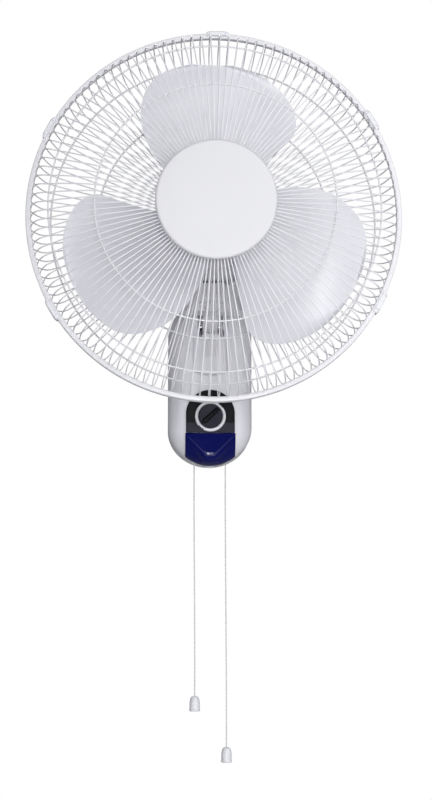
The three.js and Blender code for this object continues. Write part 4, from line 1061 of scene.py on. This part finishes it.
def make_neck():
    """The casting: an arm from the tilt pin, a block under the motor and a saddle across it."""
    bottom = NECK_TOP - NECK_HEIGHT
    foot = bottom - SADDLE_DROP
    front = BLOCK_FRONT
    arm = arc(TILT_OUT, TILT_HEIGHT, TONGUE_RADIUS, TONGUE_RADIUS, -45, -180, 24)
    arm += [(TILT_OUT - TONGUE_RADIUS, TILT_HEIGHT + 6)]
    arm += curve(arm[-1], (TILT_OUT - 6, NECK_TOP - 3), (TILT_OUT + 14, NECK_TOP), 16)
    arm += [(NECK_BACK + 6, NECK_TOP), (NECK_BACK + 6, bottom + 1)]
    arm += curve(arm[-1], (TILT_OUT + 24, bottom), (TILT_OUT + 9.2, TILT_HEIGHT - 9.2), 16)[:-1]
    head = [(NECK_BACK, NECK_TOP), (front - 3, NECK_TOP)]
    head += curve(head[-1], (front, NECK_TOP), (front, NECK_TOP - 3), 5)
    under = bottom - BLOCK_DROP
    head += [(front, under + 5)] + curve((front, under + 5), (front, under), (front - 6, under), 8)
    head += [(NECK_BACK + 4, under)]
    head += curve(head[-1], (NECK_BACK, under), (NECK_BACK, under + 4), 5)
    bend = SADDLE_HALF_WIDTH - SADDLE_CORNER
    saddle = [(-SADDLE_HALF_WIDTH, NECK_TOP), (-SADDLE_HALF_WIDTH, foot + SADDLE_CORNER)]
    saddle += curve(saddle[-1], (-SADDLE_HALF_WIDTH, foot), (-bend, foot), 10)
    saddle += [(bend, foot)]
    saddle += curve(saddle[-1], (SADDLE_HALF_WIDTH, foot),
                    (SADDLE_HALF_WIDTH, foot + SADDLE_CORNER), 10)
    saddle += [(SADDLE_HALF_WIDTH, NECK_TOP)]
    neck = spread_across("neck_casting", arm, TONGUE_WIDTH / 2)
    cheeks = [
        block("cheek", around(side * CHEEK_MIDDLE, CHEEK_HALF_WIDTH),
              (SADDLE_FRONT - CHEEK_DEPTH, SADDLE_FRONT), (NECK_TOP - 2, NECK_TOP + POST_RISE))
        for side in (-1, 1)
    ]
    join(neck, spread_across("head_block", head, NECK_WIDTH / 2),
         bar("post", upright_at(-POST_OFFSET, PAN_OUT), POST_RADIUS,
             NECK_TOP - 2, NECK_TOP + POST_RISE, 32),
         pushed_out("saddle", saddle, NECK_BACK, SADDLE_FRONT), *cheeks)
    cut(neck,
        bar("pan_bore", PAN_AXIS, PAN_PIN_RADIUS + GAP, NECK_TOP - 12, NECK_TOP + 50),
        bar("pin_bore", across_at(TILT_OUT, TILT_HEIGHT), TILT_BORE_RADIUS, -40, 40))
    return smooth(moulded(neck, cell=0.6, rounds=5), sharp=80)


place(make_neck(), "neck", "white_plastic", "neck")


def make_gap_shade_ring():
    """A dark half ring in the gap under the motor's front, turning on the neck's top: painted shade, a black sheet
    where that gap lies in shade.
    """
    pad = bar("gap_shade_ring", PAN_AXIS, GAP_SHADE_RADIUS, NECK_TOP + GAP, NECK_TOP + GAP_SHADE_HEIGHT)
    cut(pad, block("half", (-20, 20), (PAN_OUT - 20, PAN_OUT + 4), (NECK_TOP - 5, NECK_TOP + 12)))
    cut(pad, bar("gap_shade_bore", PAN_AXIS, GAP_SHADE_BORE_RADIUS, NECK_TOP - 5, NECK_TOP + 12))
    return smooth(pad, sharp=30)


# painted shade: the black half ring darkens the gap between the motor and the neck
place(make_gap_shade_ring(), "head", "black_plastic")


# ---- column
def column_ring(inset, out, steps=40):
    """The column's outline at one distance from the wall."""
    half = COLUMN_HALF_WIDTH - inset
    top = arc(0, COLUMN_TOP - COLUMN_TOP_ROUND, half, COLUMN_TOP_ROUND - inset, 0, 180, steps)
    bottom = arc(0, COLUMN_BOTTOM + COLUMN_BOTTOM_ROUND, half, COLUMN_BOTTOM_ROUND - inset,
                 180, 360, steps)
    return [at(x, out, z) for x, z in top + bottom]


def column_form(name, offset, start, steps=14):
    """The column's outer form, grown by an offset, from one distance out to its front."""
    rings = [column_ring(-offset, start)]
    for i in range(steps + 1):
        angle = math.pi / 2 * i / steps
        inset = EDGE_ROUND * (1 - math.cos(angle)) - offset
        out = COLUMN_DEPTH - EDGE_DEPTH + (EDGE_DEPTH + offset) * math.sin(angle)
        rings.append(column_ring(inset, out))
    return mesh_object(name, Shape().loft(rings))


def groove_outline():
    """The shallow groove down the front, with a sagging foot."""
    half = GROOVE_WIDTH / 2
    corner = half - GROOVE_CORNER
    line = [(-half, COLUMN_TOP), (-half, GROOVE_BOTTOM + GROOVE_CORNER)]
    line += curve(line[-1], (-half, GROOVE_BOTTOM), (-corner, GROOVE_BOTTOM), 6)
    line += curve(line[-1], (0, GROOVE_BOTTOM - GROOVE_SAG), (corner, GROOVE_BOTTOM), 10)
    line += curve(line[-1], (half, GROOVE_BOTTOM), (half, GROOVE_BOTTOM + GROOVE_CORNER), 6)
    return line + [(half, COLUMN_TOP)]


def make_front_housing():
    """The column's shell with its groove, channel, side slots, ledge and holes."""
    shell = column_form("column_shell", 0, BACK_PLATE + GAP)
    whole = column_form("whole", 0, BACK_PLATE + GAP)
    groove_back = block("groove_back", around(0, GROOVE_WIDTH / 2 + SHEET),
                        (COLUMN_DEPTH - GROOVE_DEPTH - SHEET, COLUMN_DEPTH - SHEET / 2),
                        (GROOVE_BOTTOM - GROOVE_SAG, COLUMN_TOP - 6))
    cut(shell, column_form("hollow", -SHEET, -1))
    join(shell, share(groove_back, whole))
    cords = [
        bar("cord_hole", upright_at(side * CORD_SPACING / 2, CORD_OUT), BUSH_RADIUS + GAP,
            COLUMN_BOTTOM - 20, COLUMN_BOTTOM + 30)
        for side in (-1, 1)
    ]
    gland = bar("gland_hole", upright_at(0, GLAND_OUT), GLAND_RADIUS + GAP,
                COLUMN_BOTTOM - 20, COLUMN_BOTTOM + 20)
    knob = bar("knob_hole", KNOB_AXIS, SHAFT_HOLE_RADIUS,
               COLUMN_DEPTH - 5, COLUMN_DEPTH + 20)
    slots = [
        block("slot", around(middle, SLOT_WIDTH / 2), (COLUMN_DEPTH - 30, FAR),
              (SLOT_BOTTOM, CHANNEL_BOTTOM + 5))
        for middle in SLOT_MIDDLES
    ]
    # the room that the neck tilts in, open to the front and the top
    channel = block("channel", around(0, CHANNEL_WIDTH / 2), (CHANNEL_BACK, FAR),
                    (CHANNEL_BOTTOM, FAR))
    floor = COLUMN_DEPTH - GROOVE_DEPTH
    cut(shell, pushed_out("groove", groove_outline(), floor, FAR), channel, gland, knob,
        *cords, *slots)
    join(shell, block("ledge", around(0, LEDGE_HALF_WIDTH), (floor - 2, floor + LEDGE_REACH),
                      (CHANNEL_BOTTOM - LEDGE_HEIGHT, CHANNEL_BOTTOM)))
    return smooth(moulded(shell, cell=0.9, rounds=4), sharp=80)


def make_label_pad():
    """The bare pad on the groove's floor, below the ledge."""
    floor = COLUMN_DEPTH - GROOVE_DEPTH
    rings = []
    for inset, out in ((0, floor - 0.5), (0, floor + 0.3), (LABEL_EDGE, floor + LABEL_THICKNESS)):
        left, right = LABEL_LEFT + inset, LABEL_RIGHT - inset
        low, high = LABEL_LOW + inset, LABEL_HIGH - inset
        rings.append([at(x, out, z)
                      for x, z in ((left, low), (right, low), (right, high), (left, high))])
    return smooth(mesh_object("label_pad", Shape().loft(rings)), sharp=30)


def make_rear_cover():
    """The plate on the wall, with a rounded edge, keyholes and recesses for its screws."""
    plate = mesh_object("back_cover", Shape().loft([
        column_ring(COVER_EDGE, 0), column_ring(COVER_EDGE * 0.3, COVER_EDGE * 0.3),
        column_ring(0, COVER_EDGE), column_ring(0, BACK_PLATE),
    ]))
    spread_angle = math.degrees(math.asin(KEYHOLE_SLOT / KEYHOLE_HEAD))
    tools = []
    for side in (-1, 1):
        x = side * KEYHOLE_SPACING / 2
        keyhole = arc(x, KEYHOLE_HEIGHT, KEYHOLE_HEAD, KEYHOLE_HEAD,
                      90 + spread_angle, 450 - spread_angle, 40)
        keyhole += arc(x, KEYHOLE_HEIGHT + KEYHOLE_LENGTH, KEYHOLE_SLOT, KEYHOLE_SLOT, 0, 180, 16)
        tools.append(pushed_out("keyhole", keyhole, -1, BACK_PLATE + 1))
    tools += [bar("screw_recess", level_at(x, z), SCREW_RECESS_RADIUS, -1, SCREW_RECESS_DEPTH)
              for x, z in COVER_SCREWS]
    return smooth(cut(plate, *tools))


def make_screws(name, places, radius, out):
    """Cross recessed pan heads that face the wall."""
    shape = Shape()
    for x, z in places:
        profile = [(0.01, out), (0.01, out - 1), (radius * 0.6, out - 0.95)]
        profile += [(radius * 0.9, out - 0.6), (radius, out - 0.1), (radius, out)]
        shape.lathe(profile, level_at(x, z), 32)
    screws = mesh_object(name, shape)
    crosses = []
    for x, z in places:
        for width, height in ((radius * 1.1, CROSS_WIDTH), (CROSS_WIDTH, radius * 1.1)):
            crosses.append(block("cross", around(x, width / 2), (out - 2, out - CROSS_DEPTH),
                                 around(z, height / 2)))
    return smooth(cut(screws, *crosses))


place(make_front_housing(), "base", "white_plastic", "front_housing")
place(make_label_pad(), "base", "badge_plastic")
place(make_rear_cover(), "base", "white_plastic", "rear_cover")
place(make_screws("cover_screws", COVER_SCREWS, SCREW_RADIUS, SCREW_OUT), "base", "steel")


# ---- control panel
def front_skin(name, outline, low, high):
    """A skin that follows the column's front between two offsets, inside an outline."""
    start = 30  # both forms begin behind SKIN_BACK, where the outline ends them
    skin = column_form(name, high, start)
    cut(skin, column_form("under", low, start - 10))
    return share(skin, pushed_out("outline", outline, SKIN_BACK, FAR))


def make_panel():
    """The black panel with its arched top."""
    foot = PANEL_SPLIT + GAP / 2
    outline = [(-PANEL_HALF_WIDTH, foot), (PANEL_HALF_WIDTH, foot)]
    outline += arc(0, PANEL_TOP - PANEL_ARCH, PANEL_HALF_WIDTH, PANEL_ARCH, 0, 180, 40)
    panel = front_skin("panel", outline, GAP, SKIN + GAP)
    cut(panel, bar("knob_hole", KNOB_AXIS, SHAFT_HOLE_RADIUS,
                   COLUMN_DEPTH - 20, COLUMN_DEPTH + 20))
    return smooth(moulded(panel, cell=0.45, rounds=4), sharp=80)


def make_lens():
    """The blue lens: a skin whose front is drawn out to the face that bowl_rise describes."""
    half = LENS_HALF_WIDTH
    shoulder = LENS_BOTTOM + LENS_SHOULDER
    outline = [(half, PANEL_SPLIT - GAP / 2), (-half, PANEL_SPLIT - GAP / 2), (-half, shoulder)]
    outline += curve(outline[-1], (-half / 2, LENS_BOTTOM), (0, LENS_BOTTOM), 12)
    outline += curve(outline[-1], (half / 2, LENS_BOTTOM), (half, shoulder), 12)
    lens = moulded(front_skin("lens", outline, GAP, LENS_SKIN + GAP), cell=0.5, rounds=4)
    for point in lens.data.vertices:
        out = -point.co.y / MM
        turned_front = point.normal.y < -0.15
        if out > SKIN_BACK + 4 and turned_front:
            point.co.y -= bowl_rise(point.co.x / MM, point.co.z / MM, out) * MM
    return smooth(moulded(lens, cell=0.45, rounds=5), sharp=80)


def roll(down):
    """How far the face has fallen back at some distance below the crease."""
    deep = max(0, down - ROLL_START)
    return ROLL_RATE * down ** 2 + ROLL_END_RATE * deep ** 3


def bowl_rise(x, z, out):
    """How far a point of the lens's skin comes forward to reach its face."""
    aside = max(0, abs(x) - CREASE_FLAT)
    crease = CREASE_LOW + CREASE_SLOPE * (math.hypot(CREASE_BEND, aside) - CREASE_BEND)
    skirt = SKIRT_LOW + SKIRT_RISE * (x / LENS_HALF_WIDTH) ** 2
    face = COLUMN_DEPTH + GAP + LENS_SKIN + FACE_REACH
    lean = FACET_LEAN * (PANEL_SPLIT - z) / (PANEL_SPLIT - CREASE_LOW)
    top = face + FACET_LEAN * (PANEL_SPLIT - crease) / (PANEL_SPLIT - CREASE_LOW)
    if z >= crease:
        target = face + lean
    elif z >= skirt:
        target = top - roll(crease - z)
    else:
        target = top - roll(crease - skirt) - SKIRT_STEP - SKIRT_SLOPE * (skirt - z)
    rim = PANEL_SPLIT - TOP_EDGE
    if z > rim:
        target -= TOP_EDGE_SLOPE * (z - rim)
    foot = LENS_BOTTOM + LENS_SHOULDER * (x / LENS_HALF_WIDTH) ** 2
    rise = max(0, target - out)
    for edge in ((LENS_HALF_WIDTH - abs(x)) / SIDE_ROUND, (z - foot) / FOOT_ROUND):
        rise *= math.sqrt(1 - (1 - max(0, min(1, edge))) ** 2)
    return rise


def make_sheen_band():
    """The lighter band across the panel's foot: a painted reflection, a paler plastic standing in for the sheen on the
    black panel's foot.
    """
    half = PANEL_HALF_WIDTH - 0.4
    foot = PANEL_SPLIT + 0.6
    outline = [(-half, foot), (half, foot), (half, SHEEN_BAND_TOP), (-half, SHEEN_BAND_TOP)]
    return smooth(front_skin("panel_sheen_band", outline, GAP + SKIN - 0.6, GAP + SKIN + 0.15), sharp=40)


place(make_panel(), "base", "black_plastic", "control_panel")
place(make_lens(), "base", "blue_plastic", "panel_lens")
# painted reflection: the paler band stands in for the sheen on the panel's foot
place(make_sheen_band(), "base", "knob_plastic", "control_panel")


# ---- inlets in the column's foot
def make_inlet(name, x, out, bore, radius, low, high, edge, steps, segments):
    """A short sleeve on the foot, its bore's lip rounded by 1 mm and its rim by edge."""
    profile = [(bore, high), (bore, low + 1)]
    profile += arc(bore + 1, low + 1, 1, 1, 180, 270, 6)[1:]
    profile += arc(radius - edge, low + edge, edge, edge, 270, 360, steps) + [(radius, high)]
    return turned(name, profile, upright_at(x, out), segments)


def make_bush(name, side):
    """A cord's guide bush, just proud of the rounded foot at its place."""
    aside = CORD_SPACING / 2 / COLUMN_HALF_WIDTH
    skin = COLUMN_BOTTOM + COLUMN_BOTTOM_ROUND * (1 - math.sqrt(1 - aside ** 2))
    return make_inlet(name, side * CORD_SPACING / 2, CORD_OUT, BUSH_BORE, BUSH_RADIUS,
                      skin - 0.5, skin + 6, edge=1, steps=6, segments=40)


def make_gland():
    """The mains cable's gland."""
    return make_inlet("cord_inlet", 0, GLAND_OUT, GLAND_BORE, GLAND_RADIUS,
                      COLUMN_BOTTOM - 0.6, COLUMN_BOTTOM + 10, edge=0.6, steps=5, segments=64)


place(make_bush("bush_left", -1), "base", "white_plastic", "cord_bush_left")
place(make_bush("bush_right", 1), "base", "white_plastic", "cord_bush_right")
place(make_gland(), "base", "white_plastic", "cable_gland")


# ---- knob
def make_knob_ring():
    """The white ring round the cap, with three notches at each end of a slant."""
    front = KNOB_BACK + KNOB_RING_THICKNESS
    middle = (CAP_RADIUS + GAP + KNOB_RING_RADIUS) / 2
    half = (KNOB_RING_RADIUS - CAP_RADIUS - GAP) / 2
    profile = [(CAP_RADIUS + GAP, KNOB_BACK), (KNOB_RING_RADIUS, KNOB_BACK)]
    profile += arc(middle, front - half, half, half, 0, 180, 10)
    ring = mesh_object("knob_collar", Shape().lathe(profile, KNOB_AXIS, 128))
    tools = []
    for angle in NOTCH_ANGLES:
        turn = math.radians(angle)
        reach = KNOB_RING_RADIUS - 0.4
        axis = level_at(reach * math.cos(turn), KNOB_HEIGHT + reach * math.sin(turn))
        tools.append(bar("notch", axis, NOTCH_RADIUS, KNOB_BACK - 1, front + 3, 16))
    return smooth(cut(ring, *tools), sharp=40)


def make_knob_cap():
    """The dark cap, slightly dished and open behind for the switch's shaft."""
    face = KNOB_BACK + KNOB_THICKNESS
    profile = (
        [(CAP_BORE_RADIUS, KNOB_BACK), (CAP_RADIUS, KNOB_BACK)]
        + arc(CAP_RADIUS - 1.5, face - 1.5, 1.5, 1.5, 0, 90, 6)
        + [(CAP_RADIUS - 3, face - 0.35), (0.01, face - 0.6), (0.01, face - 3),
           (CAP_BORE_RADIUS, face - 3)]
    )
    return turned("knob_cap", profile, KNOB_AXIS, 96)


def make_knob_grip():
    """The raised bar across the knob's face, rounded at its ends and along its top."""
    face = KNOB_BACK + KNOB_THICKNESS
    length = CAP_RADIUS - 1.4
    turn = math.radians(GRIP_ANGLE)
    rings = []
    for rise, inset in GRIP_STEPS:
        half = GRIP_HALF_WIDTH - inset
        reach = length - inset
        outline = arc(reach - half, 0, half, half, -90, 90, 10)
        outline += arc(half - reach, 0, half, half, 90, 270, 10)
        rings.append([
            at(u * math.cos(turn) - v * math.sin(turn), face + rise,
               KNOB_HEIGHT + u * math.sin(turn) + v * math.cos(turn))
            for u, v in outline
        ])
    return smooth(mesh_object("knob_grip", Shape().loft(rings)), sharp=40)


place(make_knob_ring(), "knob", "white_plastic", "knob_ring")
place(make_knob_cap(), "knob", "knob_plastic", "knob")
place(make_knob_grip(), "knob", "black_plastic", "knob")


# ---- stage and light
# in metres
FLOOR_HALF_WIDTH = 1.9
FLOOR_DEPTH = 1.2
FLOOR_HEIGHT = -1.15


def make_stage():
    """A plain pale floor, well below the object."""
    left, right = -FLOOR_HALF_WIDTH, FLOOR_HALF_WIDTH
    corners = ((left, left), (right, left), (right, FLOOR_DEPTH), (left, FLOOR_DEPTH))
    points = [Vector((x, y, FLOOR_HEIGHT)) for x, y in corners]
    floor = mesh_object("floor", Shape().add(points, [[0, 1, 2, 3]]))
    paint_floor = finish("pale floor", (0.86, 0.86, 0.86), 0.01, rough=0.7, grain=60, depth=0.01)
    floor.data.materials.append(paint_floor)
    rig.stage(floor)


def make_light(name, origin, target, size, power):
    """A soft light: where it stands, what it points at, its sides in metres and its watts."""
    data = bpy.data.lights.new(name, "AREA")
    data.shape = "RECTANGLE"
    data.size, data.size_y = size
    data.energy = power
    light = added(name, data)
    light.location = origin
    light.rotation_euler = (Vector(target) - Vector(origin)).to_track_quat("-Z", "Y").to_euler()


FRONT_FILL = 0.42  # the even light from the camera's side
BACK_FILL = 0.16  # and from the wall's side
FILL_TURN = (-0.95, 0.1)  # between these parts of a direction along y it changes


def make_world():
    """An even cool fill that is stronger from the front; the backdrop itself is seen white."""
    world = bpy.data.worlds.new("studio")
    scene.world = world
    world.use_nodes = True
    nodes = world.node_tree.nodes
    link = world.node_tree.links.new
    seen = nodes["Background"]
    seen.inputs["Color"].default_value = (1, 1, 1, 1)
    fill = nodes.new("ShaderNodeBackground")
    fill.inputs["Color"].default_value = (0.93, 0.94, 1, 1)
    way = nodes.new("ShaderNodeSeparateXYZ")
    link(nodes.new("ShaderNodeTexCoord").outputs["Generated"], way.inputs["Vector"])
    strength = nodes.new("ShaderNodeMapRange")
    strength.interpolation_type = "SMOOTHSTEP"
    limits = zip(("From Min", "From Max", "To Min", "To Max"), (*FILL_TURN, FRONT_FILL, BACK_FILL))
    for socket, value in limits:
        strength.inputs[socket].default_value = value
    link(way.outputs["Y"], strength.inputs["Value"])
    link(strength.outputs["Result"], fill.inputs["Strength"])
    ray = nodes.new("ShaderNodeLightPath")
    choose = nodes.new("ShaderNodeMixShader")
    link(ray.outputs["Is Camera Ray"], choose.inputs["Fac"])
    link(fill.outputs["Background"], choose.inputs[1])
    link(seen.outputs["Background"], choose.inputs[2])
    link(choose.outputs["Shader"], nodes["World Output"].inputs["Surface"])
    scene.view_settings.view_transform = "Standard"


make_stage()
make_world()
for light in (
    ("key", (1.0, -2.3, 1.1), (0, -0.15, 0.1), (2.0, 1.0), 19.5),
    ("front", (0.1, -2.9, -0.5), (0, -0.1, -0.1), (1.6, 0.9), 16),
    ("strip_left", (-1.5, -1.3, -0.1), (0, -0.06, -0.06), (0.3, 1.4), 1),
    ("strip_right", (1.5, -1.3, -0.1), (0, -0.06, -0.06), (0.3, 1.4), 5),
    ("back", (0, 2.0, 2.2), (0, -0.1, 0.1), (1.6, 0.8), 20),
    ("spark", (0, -2.6, -0.1), (0, -0.08, -0.1), (0.07, 0.5), 11),
):
    make_light(*light)


# ---- end
visual_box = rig.bounds()
with open("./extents.json", "w") as size_file:
    json.dump({
        "cad": [list(corner) for corner in cad_box],
        "visual": [list(corner) for corner in visual_box],
    }, size_file)
